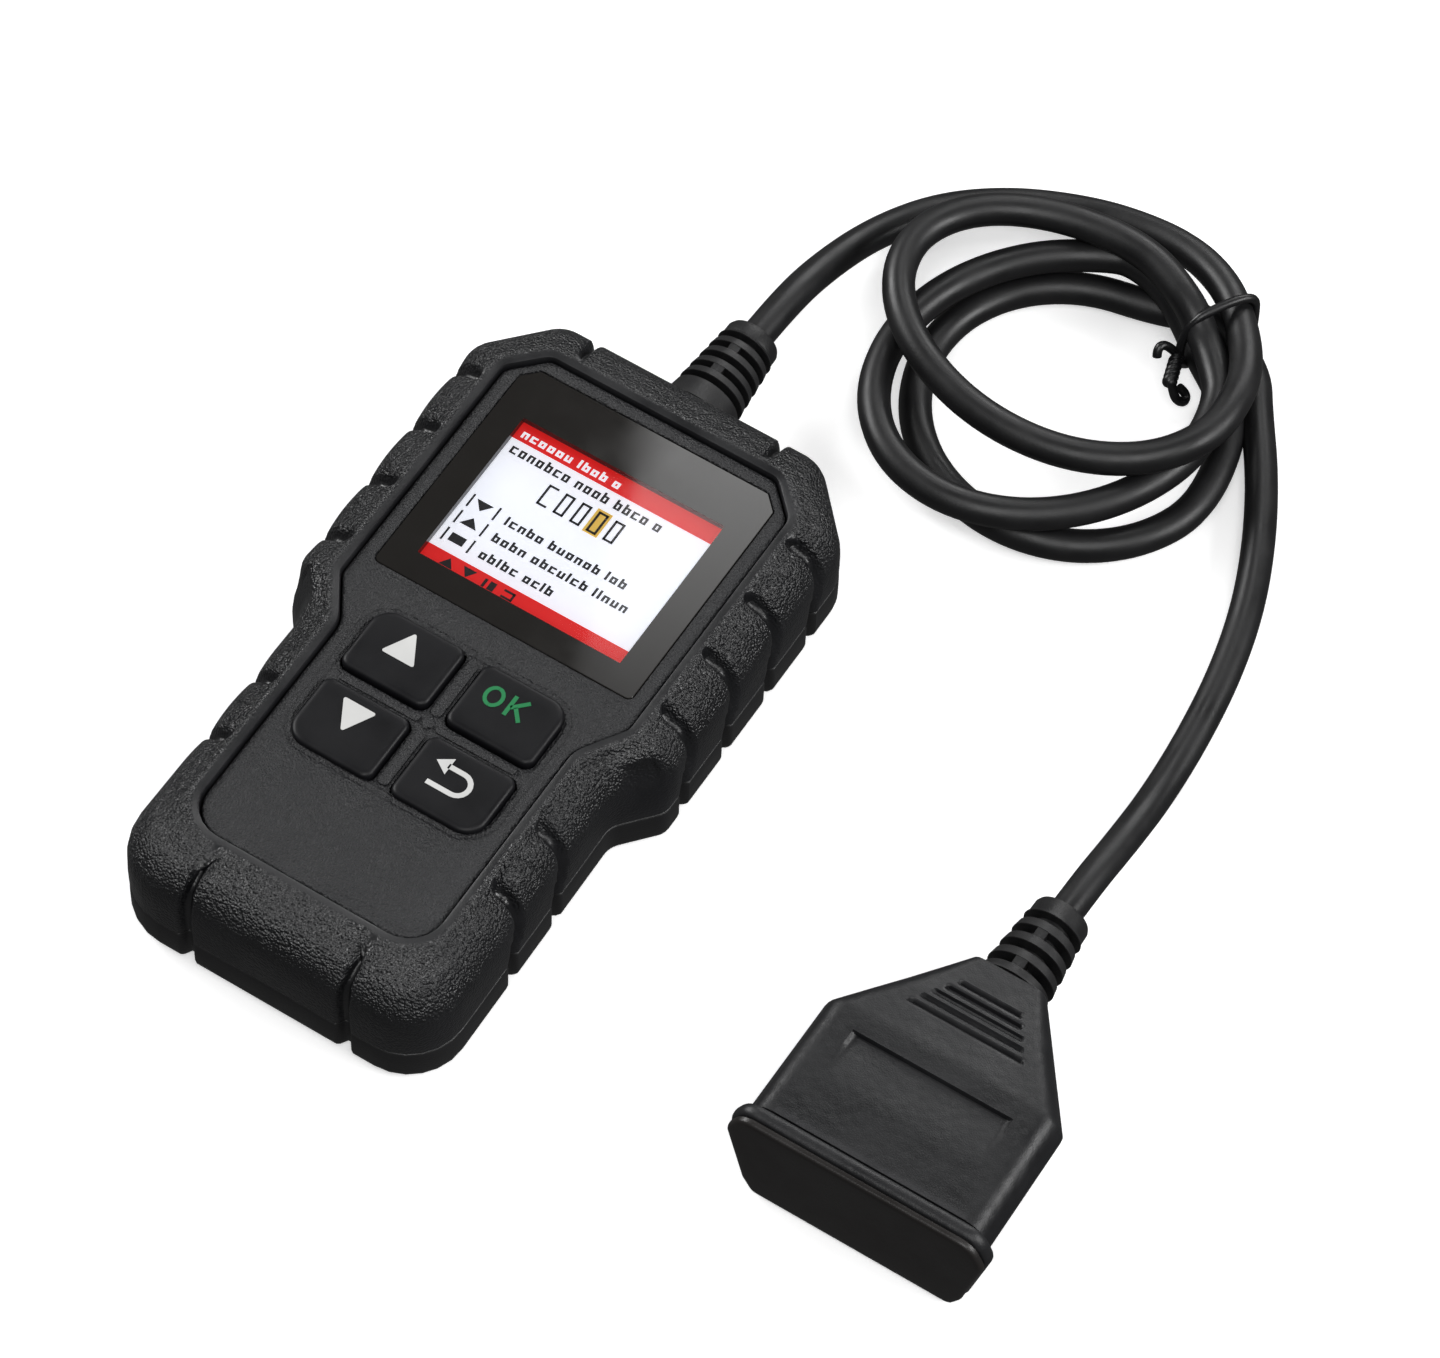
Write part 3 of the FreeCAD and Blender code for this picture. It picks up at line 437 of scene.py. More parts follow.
def rectangle(x, y, width, depth, radius):
    """Corners of a rounded rectangle about a centre."""
    return [(x + sx * width / 2, y + sy * depth / 2, radius)
            for sx, sy in ((1, 1), (-1, 1), (-1, -1), (1, -1))]


def circle(x, y, radius, sides):
    """Corners of a regular outline about a centre."""
    return [(x + radius * math.cos(math.tau * k / sides),
             y + radius * math.sin(math.tau * k / sides)) for k in range(sides)]


def at(outline, z):
    """Outline points at a height."""
    return [(x, y, z) for x, y in outline]


def profile(corners, stations, **options):
    """Outline of the corners at each (inset, height) in turn."""
    return [at(rounded(corners, inset, **options), z) for inset, z in stations]


def smooth(x):
    """Ease from 0 to 1."""
    x = min(max(x, 0.0), 1.0)
    return x * x * (3 - 2 * x)


# ---------------- case

case_high = high("front_bumper")
half_length = case_high.y
half_width = case_high.x
crown = case_high.z
parting = low("front_bumper").z
face = high("front_panel").z

case_half = [
    (half_width - 10.4, half_length, 6.5),
    (half_width, half_length - 11.2, 6.5),
    (half_width, -2.0, 3.2),
    (half_width - 5.7, -8.6, 3.6),
    (half_width - 5.0, -half_length, 9.6),
]
panel_half = [
    (20.4, 49.8, 2.4),
    (25.6, 44.6, 2.4),
    (25.6, 0.2, 2.2),
    (20.7, -7.4, 6.0),
    (20.7, -48.0, 5.6),
]
case_corners = both_sides(case_half)
panel_corners = both_sides(panel_half)
case_steps = edge_steps(case_corners, 0.34)

notch_pitch = 12.0
notch_depth = 1.45
notch_lean = 2.8
block_notches = [39.1 - i * notch_pitch for i in range(4)]
grip_notches = [-23.6 - i * notch_pitch for i in range(2)]
notches = block_notches + grip_notches
end_slits = {1: 17.0, -1: 14.0}
pillow_depth = 0.55
waist_depth = 1.9
waist_place = -3.6
shoulder = 21.3


def groove(distance, half):
    """Share of a groove's depth at a distance from its centre line."""
    return smooth(1.25 * (1 - abs(distance) / half))


def beside_notches(x, y, z):
    """Signed distance along y to the nearest side notch, or None away from the sides."""
    lean = notch_lean * smooth((z - parting) / 9.5)
    centres, side = (grip_notches, 23.0) if y < -14 else (block_notches, 27.4)
    if abs(x) < side or not -44 < y < 53:
        return None
    return min((y - centre - lean for centre in centres), key=abs)


def case_cut(x, y, z):
    """Depth of the side notches and end slits at a point of the wall, 0 to 1."""
    share = 0.0
    gap = beside_notches(x, y, z)
    if gap is not None:
        share = groove(gap, 1.5)
    slit = end_slits[1 if y > 0 else -1]
    if abs(y) > half_length - 10.5 and abs(x) < 24:
        share = max(share, groove(abs(x) - slit, 1.5 if z < 18 else 1.1))
    return share


def pillow(x, y, z):
    """Gentle fall of the surface towards each notch, 0 half-way between two, 1 beside one."""
    gap = beside_notches(x, y, z)
    if gap is None:
        return 0.0
    return max(1 - abs(gap) / (notch_pitch / 2), 0.0) ** 2


def crown_line(x, y):
    """Faint lines across the crown half-way between the notches."""
    return max(groove(y - centre - notch_lean - notch_pitch / 2, 0.42) for centre in notches)


def waist(x, y):
    """Hollow where the wide block meets the grip, 0 to 1."""
    return groove(y - waist_place, 5.0) * smooth((abs(x) - 24.0) / 3.5)


def crown_dip(x, y, z):
    """How far the crown sinks at a point: notches, pillows, fine lines and the waist."""
    return (1.3 * case_cut(x, y, z) + pillow_depth * pillow(x, y, z) + 0.28 * crown_line(x, y)
            + 0.25 * waist(x, y))


def cut_wall(outline, z):
    """Outline at a height, with its notches, slits and waist pressed in."""
    count = len(outline)
    points = []
    for i, (x, y) in enumerate(outline):
        ahead, behind = outline[(i + 1) % count], outline[i - 1]
        way = Vector((ahead[0] - behind[0], ahead[1] - behind[1])).normalized()
        depth = case_cut(x, y, z) * notch_depth
        depth += pillow(x, y, z) * pillow_depth * smooth((z - 9) / 8)
        hollow = smooth((z - 8) / 9) * (1 - 0.9 * smooth((z - 18) / 3.3))
        depth += waist(x, y) * waist_depth * hollow
        points.append((x - way.y * depth, y + way.x * depth, z))
    return points


def build_bumper():
    """Textured frame: plain walls, rounded shoulder, grained crown, smooth inner ledge."""
    shell = Shell()
    grain = []
    rows = []
    for inset, z, share in (
        (3.2, parting + 0.05, 0), (0.35, parting + 0.05, 0), (0.06, parting + 0.3, 0.3),
        (0.0, 10.5, 0.4), (0.0, 13.2, 0.4), (0.12, 15.2, 0.5), (0.35, 16.6, 0.7),
        (0.75, 17.9, 0.9), (1.3, 19.0, 1), (2.0, 19.9, 1), (2.9, 20.7, 1), (4.0, shoulder, 1),
    ):
        outline = cut_wall(rounded(case_corners, inset, steps=case_steps), z)
        sink = smooth((z - 17.5) / 3.4)
        rows.append([(x, y, z - sink * crown_dip(x, y, z)) for x, y, z in outline])
        grain.append(share)
    outer = [(x, y) for x, y, z in rows[-1]]
    inner = rounded(panel_corners, -2.0, steps=case_steps)
    for share in (0.2, 0.4, 0.6, 0.8, 1.0):
        mixed = [(a[0] + (b[0] - a[0]) * share, a[1] + (b[1] - a[1]) * share)
                 for a, b in zip(outer, inner)]
        z = shoulder + 0.9 * smooth(share)
        rows.append([
            (x, y, z - crown_dip(x, y, crown) * (1 - smooth((share - 0.1) / 0.85)))
            for x, y in mixed
        ])
        grain.append(1.0)
    for grow, z, share in (
        (1.6, crown - 0.08, 0.5), (1.35, crown - 0.14, 0.0), (0.75, crown - 0.18, 0),
        (0.42, crown - 0.3, 0), (0.28, crown - 0.6, 0), (0.25, face - 1.4, 0),
    ):
        rows.append(at(rounded(panel_corners, -grow, steps=case_steps), z))
        grain.append(share)
    shell.rings(rows)
    values = [
        share * (1 - 0.85 * case_cut(x, y, z)) * (1 - 0.4 * waist(x, y))
        for share, row in zip(grain, rows) for x, y, z in row
    ]
    new_piece("bumper", "case", shell, ["bumper_rubber"], ["front_bumper"],
              attribute=("grain", values), sharp=40)


build_bumper()


label_middle = -22
label_size = (38.6, 40.6)
screw_places = ((27.6, 43.5), (22.6, -50.0))
well_sides = 28


def build_base():
    """Rear shell: walls with the same notches, bevelled foot, label recess, screw wells."""
    shell = Shell()
    walls = shell.rings([
        cut_wall(rounded(case_corners, inset, steps=case_steps), z)
        for inset, z in ((2.1, 0.0), (1.6, 0.12), (0.8, 0.75), (0.25, 1.6), (0.03, 2.6), (0, 5),
                         (0, parting - 0.5), (0.1, parting - 0.2), (0.3, parting - 0.05),
                         (3.2, parting - 0.05))
    ])
    recess = shell.rings([
        at(rounded(rectangle(0, label_middle, label_size[0] - narrow, label_size[1] - narrow,
                             1.5)), z)
        for narrow, z in ((-0.3, 0), (0, 0.15), (0.05, 0.5))
    ], flip=True)
    shell.cap(recess[-1], flip=True)
    wells = []
    for x, y in screw_places:
        for side in (-1, 1):
            circles = [(2.95, 0), (2.7, 0.25), (2.7, 2.55), (1.4, 2.6), (1.4, 7.0)]
            well = shell.rings([at(circle(side * x, y, radius, well_sides), z)
                                for radius, z in circles], flip=True)
            wells.append(well[0])
    shell.fill([walls[0], recess[0], *wells], up=False)
    new_piece("base", "case", shell, ["case_plastic"], ["rear_shell"], sharp=40)


build_base()


lens_corners = both_sides([
    (20.6, 47.4, 0.6),
    (23.1, 44.9, 0.6),
    (23.1, 4.8, 1.0),
])
key_middle = -14.95
bay_corners = rectangle(0, key_middle, 37.4, 28.8, 5.6)
KEYS = {"key_up": (-1, 1), "key_ok": (1, 1), "key_down": (-1, -1), "key_back": (1, -1)}
key_size = (15.4, 12.2)
key_pitch = (18.8, 14.8)


def key_place(column, row):
    """Middle of a key."""
    return column * key_pitch[0] / 2, key_middle + row * key_pitch[1] / 2


def key_corners(column, row):
    """Rounded key outline whose outer corner has the larger radius."""
    corners = rectangle(*key_place(column, row), *key_size, 1.7)
    signs = ((1, 1), (-1, 1), (-1, -1), (1, -1))
    return [(px, py, 3.6 if sign == (column, row) else radius)
            for (px, py, radius), sign in zip(corners, signs)]


def build_panel():
    """Face plate: rounded edge, window seat, key bay with its double rim."""
    shell = Shell()
    steps = edge_steps(panel_corners, 1.2)
    plate = shell.rings(profile(panel_corners, (
        (0.0, 18.7), (0.0, face - 0.45), (0.08, face - 0.2), (0.22, face - 0.06), (0.45, face)
    ), steps=steps))
    seat = shell.rings(profile(lens_corners, (
        (-0.32, face), (-0.2, face - 0.05), (-0.12, face - 0.18), (-0.12, face - 1.5),
        (1.6, face - 1.5)
    ), step=2))
    bay = shell.rings(profile(bay_corners, (
        (-0.25, face), (-0.1, face - 0.05), (0.0, face - 0.16), (0.35, face - 0.18),
        (0.5, face - 0.08), (0.75, face - 0.02), (1.0, face - 0.06), (1.1, face - 0.2),
        (1.35, face - 0.26)
    ), step=1.5, arc=10))
    shell.fill([plate[-1], seat[0], bay[0]])
    wells = []
    for column, row in KEYS.values():
        well = shell.rings(profile(key_corners(column, row), (
            (-0.42, face - 0.26), (-0.32, face - 0.34), (-0.3, 18.8)), step=2))
        wells.append(well[0])
    shell.fill([bay[-1], *wells])
    new_piece("panel", "case", shell, ["panel_plastic"], ["front_panel"],
              sharp=50)


def bar(shell, x0, y0, x1, y1, z0, z1, radius, soft=0.15):
    """Low rounded bar standing on the face."""
    corners = rectangle((x0 + x1) / 2, (y0 + y1) / 2, x1 - x0, y1 - y0, radius)
    made = shell.rings(profile(corners, (
        (0, z0), (0, z1 - soft), (soft * 0.3, z1 - soft * 0.3), (soft, z1)), arc=4))
    shell.cap(made[-1])


def build_key_ribs():
    """Raised cross between the four keys, with a small diamond in its middle."""
    shell = Shell()
    start, reach_x, reach_y = 1.5, 15.7, 12.6
    half_x, half_y = 0.75, 1.0
    diamond_half = 1.25
    base = face - 0.3
    top = face + 0.06
    for side in (-1, 1):
        first, last = sorted((side * start, side * reach_x))
        bar(shell, first, key_middle - half_x, last, key_middle + half_x, base, top, 0.6)
        lower, upper = sorted((key_middle + side * start, key_middle + side * reach_y))
        bar(shell, -half_y, lower, half_y, upper, base, top, 0.9)
    diamond = [(diamond_half, key_middle, 0.2), (0, key_middle + diamond_half, 0.2),
               (-diamond_half, key_middle, 0.2), (0, key_middle - diamond_half, 0.2)]
    made = shell.rings(profile(diamond, ((0, base), (0, top - 0.1), (0.12, top + 0.05)), arc=3))
    shell.cap(made[-1])
    new_piece("key_ribs", "case", shell, ["panel_plastic"])


build_panel()
build_key_ribs()


screen_middle = 24.1
screen_half = (18.2, 14.6)
screen_corners = rectangle(0, screen_middle, 2 * screen_half[0], 2 * screen_half[1], 0.15)


def build_window():
    """Window in its seat: black back-printed border, one clear sheet over the display."""
    shell = Shell()
    top = high("lens_window").z
    bottom = low("lens_window").z
    made = shell.rings(profile(lens_corners, (
        (0.3, bottom), (0.1, bottom), (0.0, bottom + 0.1), (0.0, top - 0.12), (0.12, top)
    ), step=4))
    upper = shell.ring(at(rounded(screen_corners), top))
    lower = shell.ring(at(rounded(screen_corners), bottom))
    shell.fill([made[-1], upper])
    shell.fill([made[0], lower], up=False)
    shell.bridge(upper, lower)
    shell.kind = 1
    shell.cap(upper)
    new_piece("window", "case", shell, ["lens_print", "window_glass"],
              ["lens_window"], sharp=30)


def build_screen():
    """Lit display with a generic page: marks in place of headings and text."""
    shell = Shell()
    picture = low("lens_window").z - 0.12
    left, right = -screen_half[0], screen_half[0]
    bottom, top = screen_middle - screen_half[1], screen_middle + screen_half[1]
    layer = 0.015
    white, red, ink, amber = range(4)
    upright, level = 0.42, 0.34
    small = 0.72

    def patch(kind, x0, y0, x1, y1, lift=1):
        shell.kind = kind
        z = picture + lift * layer
        shell.face(shell.ring([(x0, y0, z), (x1, y0, z), (x1, y1, z), (x0, y1, z)]))

    def shape(kind, corners, lift=2):
        shell.kind = kind
        shell.face(shell.ring([(x, y, picture + lift * layer) for x, y in corners]))

    def glyph(kind, x, y, wide, height, strokes):
        """Letter-like mark: an upright and some of the bars that box it in."""
        tall = height * (1.0 if "tall" in strokes else small)
        patch(kind, x, y, x + upright, y + tall, 2)
        if "foot" in strokes:
            patch(kind, x, y, x + wide, y + level, 3)
        if "head" in strokes:
            patch(kind, x, y + small * height - level, x + wide, y + small * height, 3)
        if "side" in strokes:
            patch(kind, x + wide - upright, y, x + wide, y + small * height, 2)

    def words(y, height, start, end, kind=ink):
        """Row of letter-like marks in groups that stand for words; it spells nothing."""
        x = start
        sets = (("foot", "head", "side"), ("head", "side"), ("tall",), ("foot", "head"),
                ("tall", "foot", "head", "side"), ("foot", "head", "side"), ("foot", "side"))
        while x < end - 2:
            for _ in range(draw.choice((4, 5, 6, 7))):
                strokes = draw.choice(sets)
                wide = upright if strokes == ("tall",) else 1.15
                if x + wide > end:
                    break
                glyph(kind, x, y, wide, height, strokes)
                x += wide + upright
            x += 0.8

    draw = random.Random(7)
    grow = 0.4
    shell.solid(profile(rectangle(0, screen_middle, 37.2, 30.0, 0.1), (
        (0, low("display_glass").z), (0, picture))))
    patch(red, left - grow, top - 3.2, right + grow, top + grow)
    patch(red, left - grow, bottom - grow, right + grow, bottom + 3.1)
    words(top - 2.5, 1.6, -17.2, 2.0, kind=white)
    words(32.9, 1.9, -17.2, 11.0)
    digit_foot, digit_top, digit_width, chosen = 27.3, 4.1, 1.8, 3
    for index in range(5):
        x = -8.6 + index * 3.0
        if index == chosen:
            patch(amber, x - 0.45, 27.0, x + 2.2, 31.8, 2)
        sides = ((0, 0, digit_width, 0.4), (0, 3.7, digit_width, digit_top),
                 (0, 0, 0.4, digit_top), (1.4, 0, digit_width, digit_top))
        for x0, y0, x1, y1 in sides[:3] if index == 0 else sides:
            patch(ink, x + x0, digit_foot + y0, x + x1, digit_foot + y1, 3)
    for y, end, turn in ((21.4, 12.5, -1), (17.9, 15.0, 1), (14.3, 3.5, 0)):
        for x0 in (-17.3, -12.6):
            patch(ink, x0, y - 0.3, x0 + 0.35, y + 2.3, 2)
        if turn:
            middle = y + 1.0
            shape(ink, [(-16.4, middle - turn * 0.8), (-13.4, middle - turn * 0.8),
                        (-14.9, middle + turn * 1.0)][::turn], 2)
        else:
            patch(ink, -16.2, y + 0.2, -13.6, y + 1.8, 2)
        words(y, 1.7, -10.6, end)
    foot = bottom + 0.75
    shape(ink, [(-15.0, foot), (-12.6, foot), (-13.8, foot + 1.7)])
    shape(ink, [(-11.4, foot + 1.7), (-10.2, foot), (-9.0, foot + 1.7)])
    for x0, y0, x1, y1 in ((-7.4, 0, -6.9, 1.6), (-6.4, 0, -5.3, 1.6), (-3.9, 0, -2.0, 0.4),
                           (-3.9, 1.2, -2.0, 1.6), (-2.3, 0, -1.9, 1.6)):
        patch(ink, x0, foot + y0, x1, foot + y1, 2)
    new_piece("screen_page", "case", shell,
              ["screen_white", "screen_red", "screen_ink", "screen_amber"],
              ["display_glass"])


build_window()
build_screen()


def build_key(name, column, row):
    """Silicone key: soft-edged cap, flange and stem."""
    shell = Shell()
    top = high(name).z
    foot = low(name).z
    flange = 18.0
    shell.solid(profile(key_corners(column, row), (
        (-0.55, foot + 0.6), (-0.55, flange), (-0.1, flange + 0.2), (0.0, 19.0),
        (0.0, top - 0.75), (0.1, top - 0.4), (0.3, top - 0.17), (0.65, top - 0.04), (1.1, top),
        (2.6, top - 0.03), (4.4, top - 0.05)
    ), arc=8, step=1.6))
    stem = circle(*key_place(column, row), 2.0, 20)
    shell.solid([at(stem, foot), at(stem, foot + 0.8)])
    new_piece(name + "_cap", name, shell, ["key_silicone"], [name], sharp=60)


def build_symbol(name, body, polygons, look):
    """Printed symbol, a hair above its key."""
    shell = Shell()
    base = high(body).z - 0.05
    top = high(body).z + 0.015
    for corners in polygons:
        area = sum(cross(a, b) for a, b in zip(corners, corners[1:] + corners[:1]))
        corners = corners if area > 0 else corners[::-1]
        shell.solid([at(corners, base), at(corners, top)])
    new_piece(name, body, shell, [look])


def ribbon(path, width):
    """Outline of a stroke of even width along an open path."""
    left = []
    right = []
    for i, point in enumerate(path):
        before = path[max(i - 1, 0)]
        after = path[min(i + 1, len(path) - 1)]
        way = Vector((after[0] - before[0], after[1] - before[1])).normalized()
        left.append((point[0] - way.y * width / 2, point[1] + way.x * width / 2))
        right.append((point[0] + way.y * width / 2, point[1] - way.x * width / 2))
    return right + left[::-1]


for key, (key_column, key_row) in KEYS.items():
    build_key(key, key_column, key_row)

build_symbol("mark_up", "key_up",
             [rounded([(-12.8, -8.6, 0.3), (-6.8, -8.6, 0.3), (-9.8, -3.2, 0.3)], arc=3)],
             "print_white")
build_symbol("mark_down", "key_down",
             [rounded([(-9.8, -23.7, 0.3), (-6.8, -18.3, 0.3), (-12.8, -18.3, 0.3)], arc=3)],
             "print_white")
ring_path = [(6.0 + 1.35 * math.cos(math.radians(a)), -6.2 + 1.6 * math.sin(math.radians(a)))
             for a in range(90, 451, 20)]
build_symbol("mark_enter", "key_ok",
             [ribbon(ring_path[:10], 0.62), ribbon(ring_path[9:], 0.62),
              ribbon([(8.9, -8.1), (8.9, -4.3)], 0.66),
              ribbon([(9.1, -6.5), (11.3, -4.3)], 0.66),
              ribbon([(9.8, -6.1), (11.5, -8.1)], 0.66)],
             "print_green")
arrow_arc = [(9.9 + 1.95 * math.sin(math.pi * k / 10), -21.9 + 1.95 * math.cos(math.pi * k / 10))
             for k in range(11)]
build_symbol("mark_return", "key_back",
             [ribbon([(7.0, -19.95)] + arrow_arc + [(5.6, -23.85)], 0.85),
              [(4.9, -19.95), (7.3, -21.5), (7.3, -18.4)]],
             "print_white")


# ---------------- reliefs and plug


relief_base, relief_tip, relief_core = 5.9, 4.6, 3.1
relief_length = 15.0
rib_share = 0.24


def relief_rows(start, foot, slots, first):
    """Rows (y, radius at an angle) of a strain relief: flare, slots, smooth collar.

    Slots that go all round take turns with pairs that leave a rib above and below.
    """
    def steady(radius):
        return lambda angle: radius

    def slotted(radius, paired):
        return lambda angle: (radius if paired and abs(math.cos(angle)) < rib_share
                              else relief_core)

    rows = [(start, steady(0.2)), (start, steady(relief_base + 0.5)),
            (start + 0.4, steady(relief_base + 0.45)), (foot, steady(relief_base))]
    slot = 5.9 / slots
    soft = 0.07
    for index in range(slots):
        along = relief_length * (0.07 + 0.81 / slots * index)
        y = foot + along
        taper = (y + slot / 2 - foot) / relief_length
        radius = relief_base + (relief_tip - relief_base) * taper
        paired = (index + first) % 2 == 1
        rows += [
            (y - soft, steady(radius)), (y, steady(radius - soft)),
            (y + 0.02, slotted(radius - soft, paired)),
            (y + slot - 0.02, slotted(radius - soft, paired)),
            (y + slot, steady(radius - soft)), (y + slot + soft, steady(radius)),
        ]
    end = foot + relief_length
    rows += [(end - 2.6, steady(relief_tip + 0.05)), (end - 0.7, steady(relief_tip)),
             (end - 0.2, steady(relief_tip - 0.25)), (end, steady(relief_tip - 0.8)),
             (end, steady(2.5))]
    return rows


def build_reliefs(sides=72):
    """Slotted strain reliefs at the case and at the plug."""
    plug_start = low("plug_relief").y
    for name, node, start, foot, slots, first in (
        ("case_relief", "cable_grommet", half_length - 0.2, half_length + 2.5, 5, 0),
        ("plug_sleeve", "plug_relief", plug_start, plug_start + 0.6, 4, 1),
    ):
        middle = (low(node) + high(node)) / 2
        angles = [math.tau * k / sides for k in range(sides)]
        shell = Shell()
        shell.solid([
            [(middle.x + radius(a) * math.cos(a), y, middle.z + radius(a) * math.sin(a))
             for a in angles]
            for y, radius in relief_rows(start, foot, slots, first)
        ], flip=True)
        new_piece(name, "case", shell, ["relief_rubber"], [node], sharp=28)


def plug_corners(width, height, soft=1.0):
    """D-shaped section of the plug, x across and z up, about its axis."""
    half = width / 2
    tall = height / 2
    right = [
        (half * 0.9, tall, 3.4 * soft),
        (half, tall * 0.55, 3.0 * soft),
        (half * 0.86, -tall * 0.7, 2.0 * soft),
        (half * 0.78, -tall, 1.6 * soft),
    ]
    return both_sides(right)


plug_x = (low("plug_housing").x + high("plug_housing").x) / 2
plug_z = (low("plug_housing").z + high("plug_housing").z) / 2
plug_front = low("plug_housing").y
neck_end = high("plug_housing").y
plug_steps = [6, 4, 8, 24, 8, 4, 6, 60]
plug_shoulder = -20.5
body_end = -42.2
mouth = -42.0
neck_width, neck_height = 12.6, 12.4
body_width, body_height = 40.8, 18.8
recess_from, recess_half = -23.9, 13.4


def plug_ring(y, width, height, inset=0.0, soft=1.0):
    """Plug section at a station along y."""
    outline = rounded(plug_corners(width, height, soft), inset, arc=5, steps=plug_steps)
    return [(plug_x + x, y, plug_z + z) for x, z in outline]


def plug_size(y):
    """Width and height of the plug's body at a station along y."""
    if y >= plug_shoulder:
        share = (neck_end - y) / (neck_end - plug_shoulder)
        return (neck_width + (body_width - neck_width) * share,
                neck_height + (body_height - neck_height) * share)
    share = (plug_shoulder - y) / (plug_shoulder - body_end)
    return body_width + 0.4 * share, body_height


def plug_cut(x, y):
    """Depth pressed into the plug's top: grip grooves, thumb recess."""
    depth = 0.0
    for index in range(5):
        along = -7.6 - 1.75 * index
        half = 5.2 + 1.1 * index
        share = groove(y - along, 0.55) * smooth((half - abs(x)) / 0.35 + 0.5)
        depth = max(depth, 0.75 * share)
    if -34.0 < y < recess_from and abs(x) < recess_half:
        wedge = 0.75 * (1 - smooth((recess_from - y) / 9.5))
        depth = max(depth, wedge * smooth((recess_half - abs(x)) / 0.5))
    return depth


def build_plug():
    """Plug housing: neck, shoulders, body, bead round the mouth, open cavity."""
    shell = Shell()
    rows = [plug_ring(neck_end, 9.0, 9.0), plug_ring(neck_end, 11.6, 11.4)]
    y = neck_end - 0.4
    while y > mouth:
        width, height = plug_size(y)
        rows.append(plug_ring(y, width, height, soft=min(1.0, width / 26)))
        y -= 0.28 if y > -16 or -25.5 < y < -23.2 else 0.7
    end_size = plug_size(mouth)
    rim = (44.0, 20.4)
    cavity = (36.0, 14.0)
    rows += [plug_ring(along, *end_size, inset)
             for inset, along in ((0.0, -41.6), (0.35, -41.75), (0.35, mouth))]
    rows += [plug_ring(along, *rim, inset)
             for inset, along in ((0.9, -42.05), (0.35, -42.15), (0.08, -42.5), (0.0, -43.0),
                                  (0.05, -43.6), (0.25, -44.05), (0.6, plug_front),
                                  (3.4, plug_front))]
    rows += [plug_ring(-43.6, *cavity), plug_ring(-31.0, *cavity)]
    shell.solid([
        [(x, y, z - plug_cut(x - plug_x, y)) if z > plug_z + 4 and y > -41.5 else (x, y, z)
         for x, y, z in row]
        for row in rows
    ])
    new_piece("plug_body", "case", shell, ["plug_plastic"], ["plug_housing"],
              sharp=38)


def build_cap():
    """Dust cap over the plug's mouth: smooth plate and a hollow spigot."""
    shell = Shell()
    back = plug_front - 0.1
    front = low("dust_cap").y
    spigot_end = high("dust_cap").y
    plate = (43.4, 19.8)
    rows = [plug_ring(back, 30.0, 9.0)]
    rows += [plug_ring(along, *plate, inset)
             for inset, along in ((0.3, back), (0.0, back - 0.25), (0.0, front + 0.55),
                                  (0.14, front + 0.2), (0.45, front + 0.04), (1.0, front),
                                  (3.0, front))]
    shell.solid(rows)
    outside, inside = (35.4, 13.4), (33.4, 11.4)
    shell.rings([
        plug_ring(back - 0.1, *outside), plug_ring(spigot_end, *outside, 0.1),
        plug_ring(spigot_end, *inside), plug_ring(back - 0.1, *inside),
    ], flip=True)
    new_piece("mouth_cap", "dust_cap", shell, ["cap_plastic"], ["dust_cap"],
              sharp=45)


build_reliefs()
build_plug()
build_cap()


# ---------------- cord

lead_route = [
    (0.0, 76.5, 11.0),
    (0.0, 86.0, 10.2),
    (0.2, 97.0, 6.6),
    (2.4, 108.6, 3.8),
    (8.2, 118.8, 3.0),
    (17.0, 126.0, 3.0),
    (27.2, 130.4, 3.6),
    (36.6, 132.0, 5.0),
]
tail_route = [
    (70.6, 112.6, 2.8),
    (77.4, 102.6, 2.8),
    (83.2, 91.6, 2.8),
    (87.8, 80.0, 2.8),
    (90.8, 67.6, 2.8),
    (92.4, 54.9, 2.8),
    (93.2, 42.6, 3.6),
    (93.5, 31.0, 6.6),
    (93.6, 21.8, 9.5),
    (93.6, 14.1, 10.2),
]
coil_middle = (43.0, 101.5)
cord_width = 5.3

# Where the strands run together under the tie: (bearing, radius, height) from the coil's
# middle, one row for each pass.
PASSES = (
    ((82, 30.2, 7.0), (64, 29.2, 8.2), (47, 27.8, 9.2), (30, 27.3, 11.0), (15, 27.2, 12.8)),
    ((60, 21.0, 11.4), (46, 21.4, 8.8), (31, 22.4, 8.3), (15, 24.2, 8.2)),
    ((92, 22.2, 8.1), (76, 21.6, 7.7), (61, 21.2, 5.2), (46, 21.5, 3.1), (30, 23.6, 2.9),
     (14, 27.0, 2.9)),
    ((65, 24.4, 2.8), (50, 27.4, 2.8), (35, 29.4, 2.8)),
)
# The three turns between the passes, each an ellipse of its own size: centre, half axes,
# tilt, first and last angle, number of points, heights spread along it.
TURNS = (
    ((40.6, 103.4), (29.8, 20.9), -4, -8, -272, 10,
     (13.4, 12.6, 11.8, 11.6, 12.6, 13.4, 13.4, 13.0, 12.4, 11.9, 12.3)),
    ((42.3, 96.8), (29.6, 24.2), 57.3, -64, -312, 10,
     (8.1, 7.8, 7.8, 7.8, 8.0, 8.0, 8.0, 7.8, 7.8)),
    ((46.7, 96.5), (25.9, 24.6), -5, -4, -266, 11, (2.8, 2.8)),
)


def along_list(values, share):
    """Value at a share of the way along an evenly spaced list."""
    place = share * (len(values) - 1)
    index = min(int(place), len(values) - 2)
    return values[index] + (values[index + 1] - values[index]) * (place - index)


